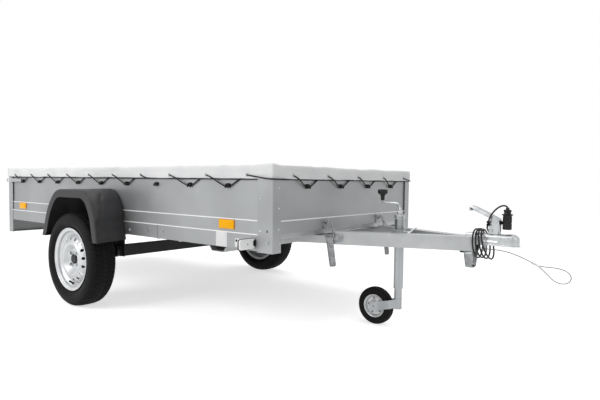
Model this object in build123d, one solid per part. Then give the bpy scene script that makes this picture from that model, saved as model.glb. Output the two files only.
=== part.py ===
from build123d import *
import os
from math import atan2, cos, degrees, hypot, pi, radians, sin, tan

# A single-axle tilting box trailer with a flat cover, in millimetres.
# +X points forward to the coupling, +Y to the trailer's left, +Z up. The ground is Z = 0, and the
# origin lies on it, half way between the coupling's tip and the faces of the tail lamps.

# ---- driving dimensions ------------------------------------------------------------------------
BOX_LENGTH = 2700.0        # front wall to rear posts, outside
BOX_WIDTH = 1308.0         # over the sills
DRAWBAR_REACH = 852.0      # front wall to the coupling's tip
LAMP_PROUD = 30.0          # tail lamps behind the rear posts
TYRE_RADIUS = 272.7        # 155/70 R13
TYRE_WIDTH = 157.0
WHEEL_GAP = 56.5           # sill to the inner side of the tyre
BED_RISE = 149.3           # axle centre to the underside of the sills
SILL_DEPTH = 75.0
WALL_HEIGHT = 303.0        # top of the sill to the top rail
RIB_RISE = 63.0            # top of the sill to the pressed rib
SHEET = 2.0
BEND = 3.5                 # outer radius of a fold in the sheet
FLOOR_THICK = 9.0
FLOOR_DROP = 2.5           # floor surface below the top of the sill
AXLE_SETBACK = 1376.0      # front wall to the wheel centres

ARM_WIDTH = 60.0           # drawbar arm, front tube
ARM_DEPTH = 64.5
ARM_WALL = 3.0
ARM_LIFT = 8.5             # underside of the arms above the underside of the sills
ARM_NOSE_HALF = 28.3       # outer face of an arm from the centreline, at its front end
ARM_SILL_GAP = 53.8        # sill to the outer face of an arm, at the tilt pivot
NOSE_SETBACK = 187.0       # coupling's tip to the front end of the arms
TUBE_START = 45.0          # front wall to the rear end of the front tube
TUBE_OVERLAP = 120.0
REAR_TUBE_DEPTH = 38.0
PIVOT_SETBACK = 840.0      # front wall to the tilt pivot
PIVOT_PIN = 16.0
BED_SEAT_GAP = 0.5         # the closed bed over the drawbar's cross-member

FENDER_OVER = 8.5          # mudguard's outer face beyond the tyre
FENDER_SHEET = 4.0
FENDER_LIP = 45.0
FENDER_GAP = 0.3
COVER_THICK = 4.0
COVER_RISE = 10.0          # top of the cover over the top rail
COVER_DROP = 62.5          # top of the cover down to its hem
COVER_GAP = 0.4

JOCKEY_REACH = 274.0       # front wall to the jockey tube
JOCKEY_TUBE = 48.0
JOCKEY_WALL = 5.0
JOCKEY_WHEEL_RADIUS = 96.6
JOCKEY_WHEEL_WIDTH = 50.0
JOCKEY_TRAIL = 126.0
JOCKEY_HUB_SHARE = 0.6     # of the wheel's radius
JOCKEY_STROKE = 48.0       # how far the crank draws the leg up from here
FIT = 0.05                 # radial clearance of pins and tubes that run in bores
SEAT = 0.3                 # gap between faces that bolt together

# ---- places that follow from them --------------------------------------------------------------
OVERALL = LAMP_PROUD + BOX_LENGTH + DRAWBAR_REACH
TIP = OVERALL / 2
FRONT = TIP - DRAWBAR_REACH
REAR = FRONT - BOX_LENGTH
HALF = BOX_WIDTH / 2
SILL_LOW = TYRE_RADIUS + BED_RISE
SILL_HIGH = SILL_LOW + SILL_DEPTH
RIB_Z = SILL_HIGH + RIB_RISE
TOP = SILL_HIGH + WALL_HEIGHT
FLOOR_TOP = SILL_HIGH - FLOOR_DROP
FLOOR_LOW = FLOOR_TOP - FLOOR_THICK
AXLE_X = FRONT - AXLE_SETBACK
AXLE_Z = TYRE_RADIUS
WHEEL_Y = HALF + WHEEL_GAP + TYRE_WIDTH / 2
ARM_LOW = SILL_LOW + ARM_LIFT
ARM_HIGH = ARM_LOW + ARM_DEPTH
NOSE_REACH = DRAWBAR_REACH - NOSE_SETBACK
ARM_SLOPE = (HALF - ARM_SILL_GAP - ARM_NOSE_HALF) / (NOSE_REACH + PIVOT_SETBACK)
ARM_ANGLE = degrees(atan2(ARM_SLOPE, 1))
REAR_TUBE_WIDTH = ARM_WIDTH - 2 * ARM_WALL
REAR_TUBE_LOW = ARM_LOW + ARM_WALL
REAR_TUBE_HIGH = REAR_TUBE_LOW + REAR_TUBE_DEPTH
PIVOT_X = FRONT - PIVOT_SETBACK
PIVOT_Z = (REAR_TUBE_LOW + REAR_TUBE_HIGH) / 2
FENDER_OUT = WHEEL_Y + TYRE_WIDTH / 2 + FENDER_OVER
COVER_TOP = TOP + COVER_RISE
COVER_HEM = COVER_TOP - COVER_DROP
JOCKEY_X = FRONT + JOCKEY_REACH
JOCKEY_INNER = JOCKEY_TUBE - 2 * JOCKEY_WALL

parts = {}


# ---- shapes ------------------------------------------------------------------------------------
def slab(x0, x1, y0, y1, z0, z1):
    """A box between two corners."""
    return Pos((x0 + x1) / 2, (y0 + y1) / 2, (z0 + z1) / 2) * Box(abs(x1 - x0), abs(y1 - y0), abs(z1 - z0))


def drawn(plane, face, low, high):
    """A face drawn in a world plane, extruded between two places on the plane's axis."""
    way = {"XY": (0, 0, 1), "XZ": (0, 1, 0), "YZ": (1, 0, 0)}[plane]
    upright = {
        "XY": face,
        "XZ": Rot(90, 0, 0) * face,
        "YZ": Plane(origin=(0, 0, 0), x_dir=(0, 1, 0), z_dir=(1, 0, 0)) * face,
    }[plane]
    return extrude(Pos(*[low * w for w in way]) * upright, amount=high - low, dir=way)


def prism(plane, points, low, high):
    """A straight-sided outline, extruded."""
    return drawn(plane, make_face(Polyline(*points, close=True)), low, high)


def bent(points, thick, bend):
    """The section of a sheet bent along a line of points; it lies to the left of their order."""
    return make_face(offset(FilletPolyline(*points, radius=bend), amount=thick, side=Side.LEFT))


def sheet(plane, points, low, high, thick=SHEET, bend=BEND):
    """A bent sheet, as long as from low to high."""
    return drawn(plane, bent(points, thick, bend), low, high)


def rod(start, end, diameter):
    """A round bar between two points."""
    start, end = Vector(*start), Vector(*end)
    place = Plane(origin=start, z_dir=(end - start).normalized())
    return place * Pos(0, 0, (end - start).length / 2) * Cylinder(diameter / 2, (end - start).length)


def turned(face, centre):
    """A face of (radius, offset) points turned about the line through centre that runs along Y."""
    return Pos(*centre) * revolve(face, axis=Axis.Y)


def lathe(profile, centre):
    """A straight-sided (radius, offset) outline, turned."""
    return turned(make_face(Polyline(*profile, close=True)), centre)


def mirrored(shape):
    """The same piece on the other side of the trailer."""
    return mirror(shape, about=Plane.XZ)


def both(shape):
    """A piece and its twin on the other side, as one node."""
    return Compound(children=[shape, mirrored(shape)])


def pair(name, shape):
    """A right-hand piece, at -Y, and its left-hand twin, as two nodes."""
    parts[name + "_right"] = shape
    parts[name + "_left"] = mirrored(shape)


# ---- drawbar -----------------------------------------------------------------------------------
def arm_line(reach):
    """The centreline of the right arm, at a distance forward of the front wall."""
    half_across = ARM_WIDTH / 2 / cos(radians(ARM_ANGLE))
    return FRONT + reach, -(ARM_NOSE_HALF + ARM_SLOPE * (NOSE_REACH - reach) - half_across)


def arm_bar(back, front, width, low, high):
    """A straight bar along the right arm, between two distances from the front wall."""
    (x0, y0), (x1, y1) = arm_line(back), arm_line(front)
    bar = Box(hypot(x1 - x0, y1 - y0), width, high - low)
    return Pos((x0 + x1) / 2, (y0 + y1) / 2, (low + high) / 2) * Rot(0, 0, ARM_ANGLE) * bar


PIVOT_END_MARGIN = 24.0    # the arm runs on behind its pivot
PAST = 20.0                # a cutter runs past what it cuts
RIGHT_HALF = slab(REAR, FRONT + NOSE_REACH, -HALF, 0, 0, TOP)


def drawbar_arm():
    """A front tube with a shallower tube let into it that runs back to the pivot."""
    tube_end, back = TUBE_START + TUBE_OVERLAP, -PIVOT_SETBACK - PIVOT_END_MARGIN
    front_tube = arm_bar(TUBE_START, NOSE_REACH + PAST, ARM_WIDTH, ARM_LOW, ARM_HIGH)
    front_bore = arm_bar(
        TUBE_START - PAST, NOSE_REACH + 2 * PAST, REAR_TUBE_WIDTH, REAR_TUBE_LOW, ARM_HIGH - ARM_WALL)
    rear_tube = arm_bar(back, tube_end, REAR_TUBE_WIDTH, REAR_TUBE_LOW, REAR_TUBE_HIGH)
    rear_bore = arm_bar(
        back - PAST, tube_end + PAST, REAR_TUBE_WIDTH - 2 * ARM_WALL,
        REAR_TUBE_LOW + ARM_WALL, REAR_TUBE_HIGH - ARM_WALL,
    )
    arm = (front_tube - front_bore) + (rear_tube - rear_bore)
    pin_hole = rod((PIVOT_X, -HALF, PIVOT_Z), (PIVOT_X, 0, PIVOT_Z), PIVOT_PIN + 2 * FIT)
    return (arm & RIGHT_HALF) - pin_hole


HAT_SETBACK = 349.0        # front wall to the middle of the drawbar's cross-member
HAT_TOP_WIDTH, HAT_LOW_WIDTH, HAT_DEPTH, HAT_SHEET, HAT_BEND = 122.0, 81.0, 25.0, 3.0, 5.0
POST_HALF_LENGTH, POST_HALF_WIDTH = 30.0, 20.0


def drawbar_cross_member():
    """The channel that the closed bed rests on, with a post up to each arm."""
    x, top = FRONT - HAT_SETBACK, SILL_LOW - BED_SEAT_GAP
    line = [
        (x - HAT_TOP_WIDTH / 2, top), (x - HAT_LOW_WIDTH / 2, top - HAT_DEPTH),
        (x + HAT_LOW_WIDTH / 2, top - HAT_DEPTH), (x + HAT_TOP_WIDTH / 2, top),
    ]
    channel = sheet("XZ", line, -HALF, HALF, HAT_SHEET, HAT_BEND)
    channel = channel & slab(x - HAT_TOP_WIDTH, x + HAT_TOP_WIDTH, -HALF, HALF, 0, top)
    y = arm_line(-HAT_SETBACK)[1]
    post = slab(x - POST_HALF_LENGTH, x + POST_HALF_LENGTH, y - POST_HALF_WIDTH, y + POST_HALF_WIDTH,
                top - HAT_DEPTH + HAT_SHEET, REAR_TUBE_LOW)
    return channel + post + mirrored(post)


SKID_SETBACK = 214.0       # coupling's tip to the middle of the strap
SKID_WIDTH, SKID_HALF, SKID_SHEET, SKID_DROP, SKID_BEND = 44.0, 30.0, 5.0, 80.0, 9.0
SKID_SHANK, SKID_TAPER, SKID_FOOT = 6.0, 6.0, 20.0


def support_skid():
    """The bent strap under the nose that the drawbar can be set down on."""
    low, high = ARM_LOW - SKID_DROP, ARM_LOW
    side = [(-SKID_HALF, high), (-SKID_HALF, high - SKID_SHANK), (-SKID_HALF + SKID_TAPER, low)]
    line = side + [(-y, z) for y, z in side[::-1]]
    x = TIP - SKID_SETBACK
    strap = drawn("YZ", bent(line, SKID_SHEET, SKID_BEND), x - SKID_WIDTH / 2, x + SKID_WIDTH / 2)
    taper = [
        (x - SKID_WIDTH / 2 - 1, high), (x - SKID_FOOT, low), (x - SKID_FOOT, low - 1),
        (x + SKID_FOOT, low - 1), (x + SKID_FOOT, low), (x + SKID_WIDTH / 2 + 1, high),
    ]
    return strap & prism("XZ", taper, -SKID_HALF - 1, SKID_HALF + 1)


# ---- coupling ----------------------------------------------------------------------------------
BALL_BORE = 51.0           # for a 50 mm ball
SOCKET_WALL = 7.5
SOCKET_DEPTH = 16.0
COUPLING_TOP = 20.0        # top of the coupling over the top of the arms
COUPLING_SETBACK = 232.0   # its tip to its rear end
COUPLING_HALF = 32.0
COUPLING_SIDE, COUPLING_ROOF = 5.0, 8.0
SOCKET_RADIUS = BALL_BORE / 2 + SOCKET_WALL
SOCKET_X = TIP - SOCKET_RADIUS
SOCKET_TOP = ARM_HIGH + COUPLING_TOP
SOCKET_LOW = SOCKET_TOP - SOCKET_WALL - BALL_BORE / 2 - SOCKET_DEPTH
COUPLING_ROUND = 6.0


def coupling_body():
    """A deck on the arms, a channel ahead of them and the round head with the ball's socket."""
    half, height = COUPLING_HALF, SOCKET_TOP - SOCKET_LOW
    middle = TIP - NOSE_SETBACK + SEAT
    deck = slab(TIP - COUPLING_SETBACK, SOCKET_X, -half, half, ARM_HIGH, SOCKET_TOP)
    channel = slab(middle, SOCKET_X, -half, half, SOCKET_LOW, SOCKET_TOP)
    head = Pos(SOCKET_X, 0, SOCKET_LOW + height / 2) * Cylinder(SOCKET_RADIUS, height)
    body = deck + channel + head
    body = fillet(body.faces().sort_by(Axis.Z)[-1].edges(), COUPLING_ROUND)
    hollow = slab(middle - 1, SOCKET_X - SOCKET_RADIUS - COUPLING_SIDE, -half + COUPLING_SIDE,
                  half - COUPLING_SIDE, SOCKET_LOW - 1, SOCKET_TOP - COUPLING_ROOF)
    bore = rod((SOCKET_X, 0, SOCKET_LOW - 1), (SOCKET_X, 0, SOCKET_LOW + SOCKET_DEPTH), BALL_BORE)
    dome = Pos(SOCKET_X, 0, SOCKET_LOW + SOCKET_DEPTH) * Sphere(BALL_BORE / 2)
    return body - hollow - bore - dome


HANDLE_HALF, HANDLE_SHEET = 20.0, 3.0
EAR_BACK, EAR_FRONT = 132.0, 88.0      # behind the coupling's tip
# columns: distance behind the coupling's tip, height over the coupling's top
HANDLE_OUTLINE = [
    (EAR_BACK, 0.0), (EAR_BACK, 50.0), (222.0, 91.0), (223.0, 117.0), (201.0, 121.0),
    (EAR_FRONT, 66.0), (EAR_FRONT, 0.0),
]
HANDLE_HOLLOW = [
    (EAR_BACK + 1, -1.0), (EAR_BACK + 1, 50.5), (219.0, 89.5), (219.5, 114.0), (201.5, 117.5),
    (EAR_FRONT + 3, 63.5), (EAR_FRONT + 3, -1.0),
]


def coupling_handle():
    """A channel handle on two ears over the coupling, open behind and below."""
    shell, hollow = [
        prism("XZ", [(TIP - back, SOCKET_TOP + up) for back, up in outline], -half, half)
        for outline, half in ((HANDLE_OUTLINE, HANDLE_HALF), (HANDLE_HOLLOW, HANDLE_HALF - HANDLE_SHEET))
    ]
    return shell - hollow


# ---- jockey wheel ------------------------------------------------------------------------------
TUBE_DROP, COLLAR_RISE = 226.5, 72.0   # outer tube below and above the arms
CLAMP_LIFT, CLAMP_RISE = 9.5, 7.0      # collar over the arms' underside and top
CLAMP_WALL, CLAMP_BOSS, BOSS_DIAMETER = 7.0, 8.0, 22.0
CLAMP_PLATE = 10.0
JOCKEY_LOW = ARM_LOW - TUBE_DROP
JOCKEY_COLLAR = ARM_HIGH + COLLAR_RISE
CLAMP_LOW, CLAMP_HIGH = ARM_LOW + CLAMP_LIFT, ARM_HIGH + CLAMP_RISE
CLAMP_OUTER = JOCKEY_TUBE + 2 * CLAMP_WALL
CLAMP_FACE = JOCKEY_X + CLAMP_OUTER / 2 + CLAMP_BOSS
SCREW_Z = CLAMP_HIGH - BOSS_DIAMETER / 2
CAP_DEPTH, CAP_LIP = 7.0, 3.0


def upright(low, high, diameter, x=JOCKEY_X):
    """A vertical bar in the centre plane."""
    return rod((x, 0, low), (x, 0, high), diameter)


def jockey_clamp():
    """The plate between the arms and the collar that holds the jockey tube."""
    x = JOCKEY_X - CLAMP_OUTER / 2 - CLAMP_WALL
    arm = arm_bar(TUBE_START, NOSE_REACH, ARM_WIDTH, ARM_LOW - PAST, ARM_HIGH + PAST)
    reach = -arm_line(JOCKEY_REACH)[1]
    plate = slab(x, x + CLAMP_PLATE, -reach, reach, CLAMP_LOW, ARM_HIGH - CLAMP_LIFT / 2)
    boss = rod((JOCKEY_X, 0, SCREW_Z), (CLAMP_FACE, 0, SCREW_Z), BOSS_DIAMETER)
    holder = upright(CLAMP_LOW, CLAMP_HIGH, CLAMP_OUTER) + (plate - arm - mirrored(arm)) + boss
    return holder - upright(CLAMP_LOW - 1, CLAMP_HIGH + 1, JOCKEY_TUBE + 2 * FIT)


SCREW_PROUD, SCREW_DIAMETER, GRIP_DIAMETER = 18.0, 12.0, 9.0
GRIP_ENDS = [(-22.0, -42.0, -28.0), (18.0, 33.0, 22.0)]   # from the screw's outer end


def clamp_handle():
    """The T-handled screw that locks the jockey tube."""
    end = (CLAMP_FACE + SCREW_PROUD, 0, SCREW_Z)
    screw = rod((CLAMP_FACE, 0, SCREW_Z), end, SCREW_DIAMETER)
    low, high = [tuple(e + d for e, d in zip(end, shift)) for shift in GRIP_ENDS]
    return screw + rod(low, high, GRIP_DIAMETER)


def jockey_outer_tube():
    shoulder = JOCKEY_COLLAR - CAP_LIP
    tube = upright(JOCKEY_LOW, shoulder, JOCKEY_TUBE) - upright(
        JOCKEY_LOW - 1, shoulder, JOCKEY_INNER + 2 * FIT)
    return tube + upright(shoulder, shoulder + CAP_DEPTH, JOCKEY_TUBE + 2 * CAP_LIP)


CRANK_RISE, CRANK_ARM, CRANK_BAR, SPINDLE = 69.0, 90.0, 10.0, 14.0
CRANK_STEM, KNOB_DEPTH, KNOB_DIAMETER = 40.0, 26.0, 34.0


def jockey_crank():
    """The spindle through the cap, the crank arm and its upright grip."""
    z, end = JOCKEY_COLLAR + CRANK_RISE, JOCKEY_X - CRANK_ARM
    spindle = upright(JOCKEY_COLLAR - CAP_LIP + CAP_DEPTH, z + SPINDLE / 2, SPINDLE)
    arm = rod((JOCKEY_X, 0, z), (end, 0, z), CRANK_BAR)
    stem = upright(z - SPINDLE / 2, z + CRANK_STEM, SPINDLE, end)
    return spindle + arm + stem + upright(z + CRANK_STEM, z + CRANK_STEM + KNOB_DEPTH, KNOB_DIAMETER, end)


FORK_HALF = JOCKEY_WHEEL_WIDTH / 2 + 6
FORK_SHEET, FORK_STRAP, FORK_RISE, FORK_BEND = 4.0, 44.0, 30.0, 8.0
SLEEVE_LOW = JOCKEY_WHEEL_RADIUS + 2.4
SLEEVE_HIGH = JOCKEY_WHEEL_RADIUS + FORK_RISE + FORK_STRAP / 2 + 4
FORK_AXLE, FORK_AXLE_PROUD = 12.0, 9.0


def jockey_inner_tube():
    return upright(SLEEVE_HIGH + SEAT, JOCKEY_COLLAR - CAP_LIP - JOCKEY_STROKE - JOCKEY_WALL, JOCKEY_INNER)


def jockey_fork():
    """A sleeve under the swivel with two bent straps that trail the wheel."""
    x, z = JOCKEY_X - JOCKEY_TRAIL, JOCKEY_WHEEL_RADIUS
    half, radius = FORK_STRAP / 2, JOCKEY_INNER / 2
    sleeve = upright(SLEEVE_LOW, SLEEVE_HIGH, JOCKEY_INNER)
    plan = [
        (JOCKEY_X - 2, -radius + FORK_SHEET), (JOCKEY_X - radius, -radius),
        (JOCKEY_X - radius - 12, -FORK_HALF), (x - half, -FORK_HALF),
    ]
    side = [
        (JOCKEY_X, z + FORK_RISE - half), (JOCKEY_X, z + FORK_RISE + half), (x, z + half), (x, z - half),
    ]
    strap = drawn("XY", bent(plan, FORK_SHEET, FORK_BEND), 0, SLEEVE_HIGH)
    shape = prism("XZ", side, -HALF, HALF) + rod((x, -HALF, z), (x, HALF, z), FORK_STRAP)
    strap = strap & shape
    end = FORK_HALF + FORK_AXLE_PROUD
    return sleeve + strap + mirrored(strap) + rod((x, -end, z), (x, end, z), FORK_AXLE)


def jockey_wheel():
    """A solid tyre on a pressed hub; columns: radius, offset from the wheel's middle."""
    centre = (JOCKEY_X - JOCKEY_TRAIL, 0, JOCKEY_WHEEL_RADIUS)
    r, half = JOCKEY_WHEEL_RADIUS, JOCKEY_WHEEL_WIDTH / 2
    bore, hub = FORK_AXLE / 2 + FIT, JOCKEY_HUB_SHARE * r
    tyre = [(hub, half - 6), (r - 14, half), (r - 4, half - 8), (r, half - 17)]
    wheel = [
        (bore, half + 4), (20, half + 4), (20, 8), (hub - 6, 6), (hub - 6, half - 8),
        (hub - SEAT, half - 8),
    ]
    return [lathe(half_line + [(a, -b) for a, b in half_line[::-1]], centre) for half_line in (tyre, wheel)]


# ---- bed ---------------------------------------------------------------------------------------
RAIL_WIDTH, RAIL_DEPTH, SILL_FLANGE, RIB_STEP = 27.0, 18.0, 36.0, 3.0
POST_SHEET = 2.0
FRONT_POST_SIDE, FRONT_POST_FACE, FRONT_POST_LOW = 90.6, 57.0, 4.0
REAR_POST_SIDE, REAR_POST_FACE = 68.5, 29.0
REAR_POST_LOW = 95.0       # the rear posts reach this far below the sills
FRONT_FOOT = 14.0          # flange along the foot of the front wall


def side_wall():
    """One folded sheet: sill flange, sill, pressed rib, panel and top rail."""
    y = -HALF
    line = [
        (y + SILL_FLANGE, SILL_LOW), (y, SILL_LOW), (y, SILL_HIGH - RIB_STEP),
        (y + RIB_STEP, SILL_HIGH), (y + RIB_STEP, RIB_Z - RIB_STEP), (y + 2 * RIB_STEP, RIB_Z),
        (y + 2 * RIB_STEP, TOP), (y + RAIL_WIDTH, TOP), (y + RAIL_WIDTH, TOP - RAIL_DEPTH),
    ]
    return sheet("YZ", line[::-1], REAR + BEND, FRONT - RAIL_WIDTH - SHEET - BED_SEAT_GAP)


def front_wall():
    """The front panel, with the same rib and top rail as the sides."""
    low, inner = SILL_HIGH + RIB_STEP, FRONT - 2 * RIB_STEP
    line = [
        (FRONT - FRONT_FOOT, low), (FRONT - RIB_STEP, low), (FRONT - RIB_STEP, RIB_Z - RIB_STEP),
        (inner, RIB_Z), (inner, TOP), (FRONT - RAIL_WIDTH, TOP), (FRONT - RAIL_WIDTH, TOP - RAIL_DEPTH),
    ]
    half = HALF - 2 * RIB_STEP - SHEET
    return sheet("XZ", line, -half, half)


def front_post():
    y, x = -HALF - POST_SHEET, FRONT + POST_SHEET
    line = [(x - FRONT_POST_SIDE, y), (x, y), (x, y + FRONT_POST_FACE)]
    return sheet("XY", line, SILL_LOW - FRONT_POST_LOW, TOP, POST_SHEET)


def rear_post():
    y, x = -HALF - POST_SHEET, REAR
    line = [(x, y + REAR_POST_FACE), (x, y), (x + REAR_POST_SIDE, y)]
    return sheet("XY", line, SILL_LOW - REAR_POST_LOW, TOP, POST_SHEET)


FLOOR_REAR_GAP = 34.0
FLOOR_FRONT = FRONT - FRONT_FOOT - SHEET


def floor_panel():
    half = HALF - SHEET - RIB_STEP
    return slab(REAR + FLOOR_REAR_GAP, FLOOR_FRONT - SHEET, -half, half, FLOOR_LOW, FLOOR_TOP)


BEARER_PLACES = [AXLE_X + 376.0, AXLE_X - 184.0, REAR + 700.0, REAR + 260.0]
BEARER_TOP, BEARER_LOW, BEARER_DEPTH = 110.0, 60.0, 40.0
EDGE_DROP, EDGE_FLANGE = 20.0, 34.0    # the angle under the floor's front edge


def floor_bearers():
    """Hat sections across the bed behind the pivot, with the angle that carries the front edge."""
    half, bearers = HALF - SHEET, []
    for x in BEARER_PLACES:
        side = [(x - BEARER_TOP / 2, FLOOR_LOW), (x - BEARER_LOW / 2, FLOOR_LOW),
                (x - BEARER_LOW / 2, FLOOR_LOW - BEARER_DEPTH)]
        line = side + [(2 * x - a, z) for a, z in side[::-1]]
        bearers.append(sheet("XZ", line[::-1], -half, half))
    low, half = SILL_HIGH - EDGE_DROP, HALF - SHEET - RIB_STEP - BED_SEAT_GAP
    line = [(FLOOR_FRONT, SILL_HIGH + RIB_STEP), (FLOOR_FRONT, low), (FLOOR_FRONT - EDGE_FLANGE, low)]
    bearers.append(sheet("XZ", line[::-1], -half, half))
    return Compound(children=bearers)


PIVOT_PLATE_HALF, PIVOT_PLATE, PIN_PROUD = 80.0, 4.0, 14.0


def pivot_bracket():
    """The plate inside the sill and the pin that the drawbar arm turns on."""
    inner = -HALF + SHEET
    plate = slab(PIVOT_X - PIVOT_PLATE_HALF, PIVOT_X + PIVOT_PLATE_HALF, inner, inner + PIVOT_PLATE,
                 SILL_LOW + BEND, FLOOR_LOW)
    end = arm_line(-PIVOT_SETBACK)[1] + ARM_WIDTH / 2 + PIN_PROUD
    return plate + rod((PIVOT_X, inner + SHEET, PIVOT_Z), (PIVOT_X, end, PIVOT_Z), PIVOT_PIN)


BOARD_FLANGE, BOARD_SILL_DROP = 32.0, 57.0
BOARD_LOW = SILL_LOW - REAR_POST_LOW
BOARD_TOP = SILL_HIGH - BOARD_SILL_DROP


def light_board():
    """The channel between the rear posts that carries the lamps and the tailgate."""
    back, flange = REAR + POST_SHEET, REAR + POST_SHEET + BOARD_FLANGE
    line = [(flange, BOARD_LOW), (back, BOARD_LOW), (back, BOARD_TOP), (flange, BOARD_TOP)]
    half = HALF - BEND + SHEET
    channel = sheet("XZ", line[::-1], -half, half)
    sill = slab(back, flange + 1, HALF - SILL_FLANGE - 1, HALF + 1, SILL_LOW - FIT, BOARD_TOP + 1)
    return channel - sill - mirrored(sill)


# ---- axle and wheels ---------------------------------------------------------------------------
AXLE_ARM = 182.0
AXLE_ARM_DROP = 15.0       # degrees that the trailing arms slope down
AXLE_BEAM, BEAM_WALL, CORE_LENGTH = 62.0, 5.0, 85.0
HANGER_HALF, HANGER_SHEET, HANGER_FOOT = 50.0, 6.0, 50.0
BEAM_X = AXLE_X + AXLE_ARM * cos(radians(AXLE_ARM_DROP))
BEAM_Z = AXLE_Z + AXLE_ARM * sin(radians(AXLE_ARM_DROP))
BEAM_END = HALF + 1.0
ARM_INNER, ARM_OUTER = HALF + 8.0, HALF + 26.0
ARM_EYE, ARM_LOW_EYE, ARM_LINK, STUB = 70.0, 56.0, 50.0, 30.0


def along_beam(half, y):
    """A square bar around the beam's axis, out to y on both sides."""
    return slab(BEAM_X - half, BEAM_X + half, -y, y, BEAM_Z - half, BEAM_Z + half)


def axle_beam():
    """The square tube across the trailer, with the plates that hang it from the sills."""
    half, inner = AXLE_BEAM / 2, -HALF + HANGER_SHEET
    back, front = BEAM_X - HANGER_HALF, BEAM_X + HANGER_HALF
    hanger = slab(back, front, inner, inner + HANGER_SHEET, BEAM_Z - half, SILL_LOW)
    foot = slab(back, front, inner, inner + HANGER_FOOT, SILL_LOW - HANGER_SHEET, SILL_LOW)
    bracket = hanger + foot
    hollow = along_beam(half - BEAM_WALL, HALF + ARM_EYE)
    return along_beam(half, BEAM_END) + bracket + mirrored(bracket) - hollow


def axle_arm():
    """A trailing arm on the end of the beam, with the stub that carries the hub."""
    core = along_beam(AXLE_BEAM / 2 - BEAM_WALL - SEAT, ARM_OUTER)
    core = core & slab(REAR, FRONT, -ARM_OUTER, -BEAM_END + CORE_LENGTH, 0, TOP)
    eye = rod((BEAM_X, -ARM_INNER, BEAM_Z), (BEAM_X, -ARM_OUTER, BEAM_Z), ARM_EYE)
    low_eye = rod((AXLE_X, -ARM_INNER, AXLE_Z), (AXLE_X, -ARM_OUTER, AXLE_Z), ARM_LOW_EYE)
    middle = ((AXLE_X + BEAM_X) / 2, -(ARM_INNER + ARM_OUTER) / 2, (AXLE_Z + BEAM_Z) / 2)
    link = Pos(*middle) * Rot(0, -AXLE_ARM_DROP, 0) * Box(AXLE_ARM, ARM_OUTER - ARM_INNER, ARM_LINK)
    stub = rod((AXLE_X, -ARM_INNER, AXLE_Z), (AXLE_X, -WHEEL_Y - WHEEL_OFFSET, AXLE_Z), STUB)
    return core + eye + low_eye + link + stub


WHEEL_OFFSET = 30.0        # wheel's middle out to the face that the disc bolts to
DRUM_RADIUS, DRUM_START, DRUM_END, NECK_RADIUS = 100.0, 30.0, 84.0, 60.0
SPIGOT_RADIUS, SPIGOT_LENGTH = 29.0, 9.0
CAP_RADIUS, CAP_LENGTH, CAP_WALL = 24.0, 15.0, 10.0


def hub():
    """The drum, the wheel seat and the capped spigot, bored for the stub axle."""
    face = WHEEL_Y + WHEEL_OFFSET
    drum_in, drum_out = HALF + DRUM_START - face, HALF + DRUM_END - face
    bore = STUB / 2 + FIT
    outline = [
        (bore, drum_in), (DRUM_RADIUS, drum_in), (DRUM_RADIUS, drum_out), (NECK_RADIUS, drum_out),
        (NECK_RADIUS, 0), (SPIGOT_RADIUS, 0), (SPIGOT_RADIUS, SPIGOT_LENGTH), (CAP_RADIUS, CAP_LENGTH),
        (0, CAP_LENGTH), (0, CAP_LENGTH - CAP_WALL), (bore, CAP_LENGTH - CAP_WALL),
    ]
    return lathe([(r, -y) for r, y in outline], (AXLE_X, -face, AXLE_Z))


RIM_FLANGE, RIM_BEAD, RIM_WELL = 181.5, 165.0, 140.0
RIM_HALF, RIM_SHEET, RIM_LIP, RIM_BEND = 57.0, 4.0, 9.0, 4.5
DISC_SHEET, DISC_BEND = 5.0, 8.0
DISC_BORE = SPIGOT_RADIUS + 0.5
VENTS, VENT_CIRCLE, VENT_DIAMETER = 16, 119.5, 20.0
# columns: radius, how far the disc's face stands outboard of its seat
DISC_LINE = [
    (DISC_BORE, 0.0), (60.0, 0.0), (84.0, 26.0), (96.0, 29.0), (121.0, 14.0), (RIM_WELL - 1, -10.0),
]


def rim():
    """A pressed steel wheel: well base, bead seats and a dished disc with vent holes."""
    centre = (AXLE_X, -WHEEL_Y, AXLE_Z)
    step, well = RIM_FLANGE - RIM_BEAD, WHEEL_OFFSET - 3
    profile = [
        (RIM_FLANGE, -RIM_HALF - RIM_LIP), (RIM_FLANGE - RIM_LIP, -RIM_HALF), (RIM_BEAD, -RIM_HALF),
        (RIM_BEAD, -well - step), (RIM_WELL, -well), (RIM_WELL, -step / 2), (RIM_BEAD, step / 2),
        (RIM_BEAD, RIM_HALF), (RIM_FLANGE - RIM_LIP, RIM_HALF), (RIM_FLANGE, RIM_HALF + RIM_LIP),
    ]
    seat = -WHEEL_OFFSET - SEAT - DISC_SHEET
    wheel = turned(bent(profile, RIM_SHEET, RIM_BEND), centre) + turned(
        bent([(r, seat - out) for r, out in DISC_LINE], DISC_SHEET, DISC_BEND), centre)
    for i in range(VENTS):
        a = radians(i * 360 / VENTS)
        x, z = AXLE_X + VENT_CIRCLE * cos(a), AXLE_Z + VENT_CIRCLE * sin(a)
        wheel = wheel - rod((x, -WHEEL_Y - RIM_HALF, z), (x, -WHEEL_Y, z), VENT_DIAMETER)
    return wheel


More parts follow.
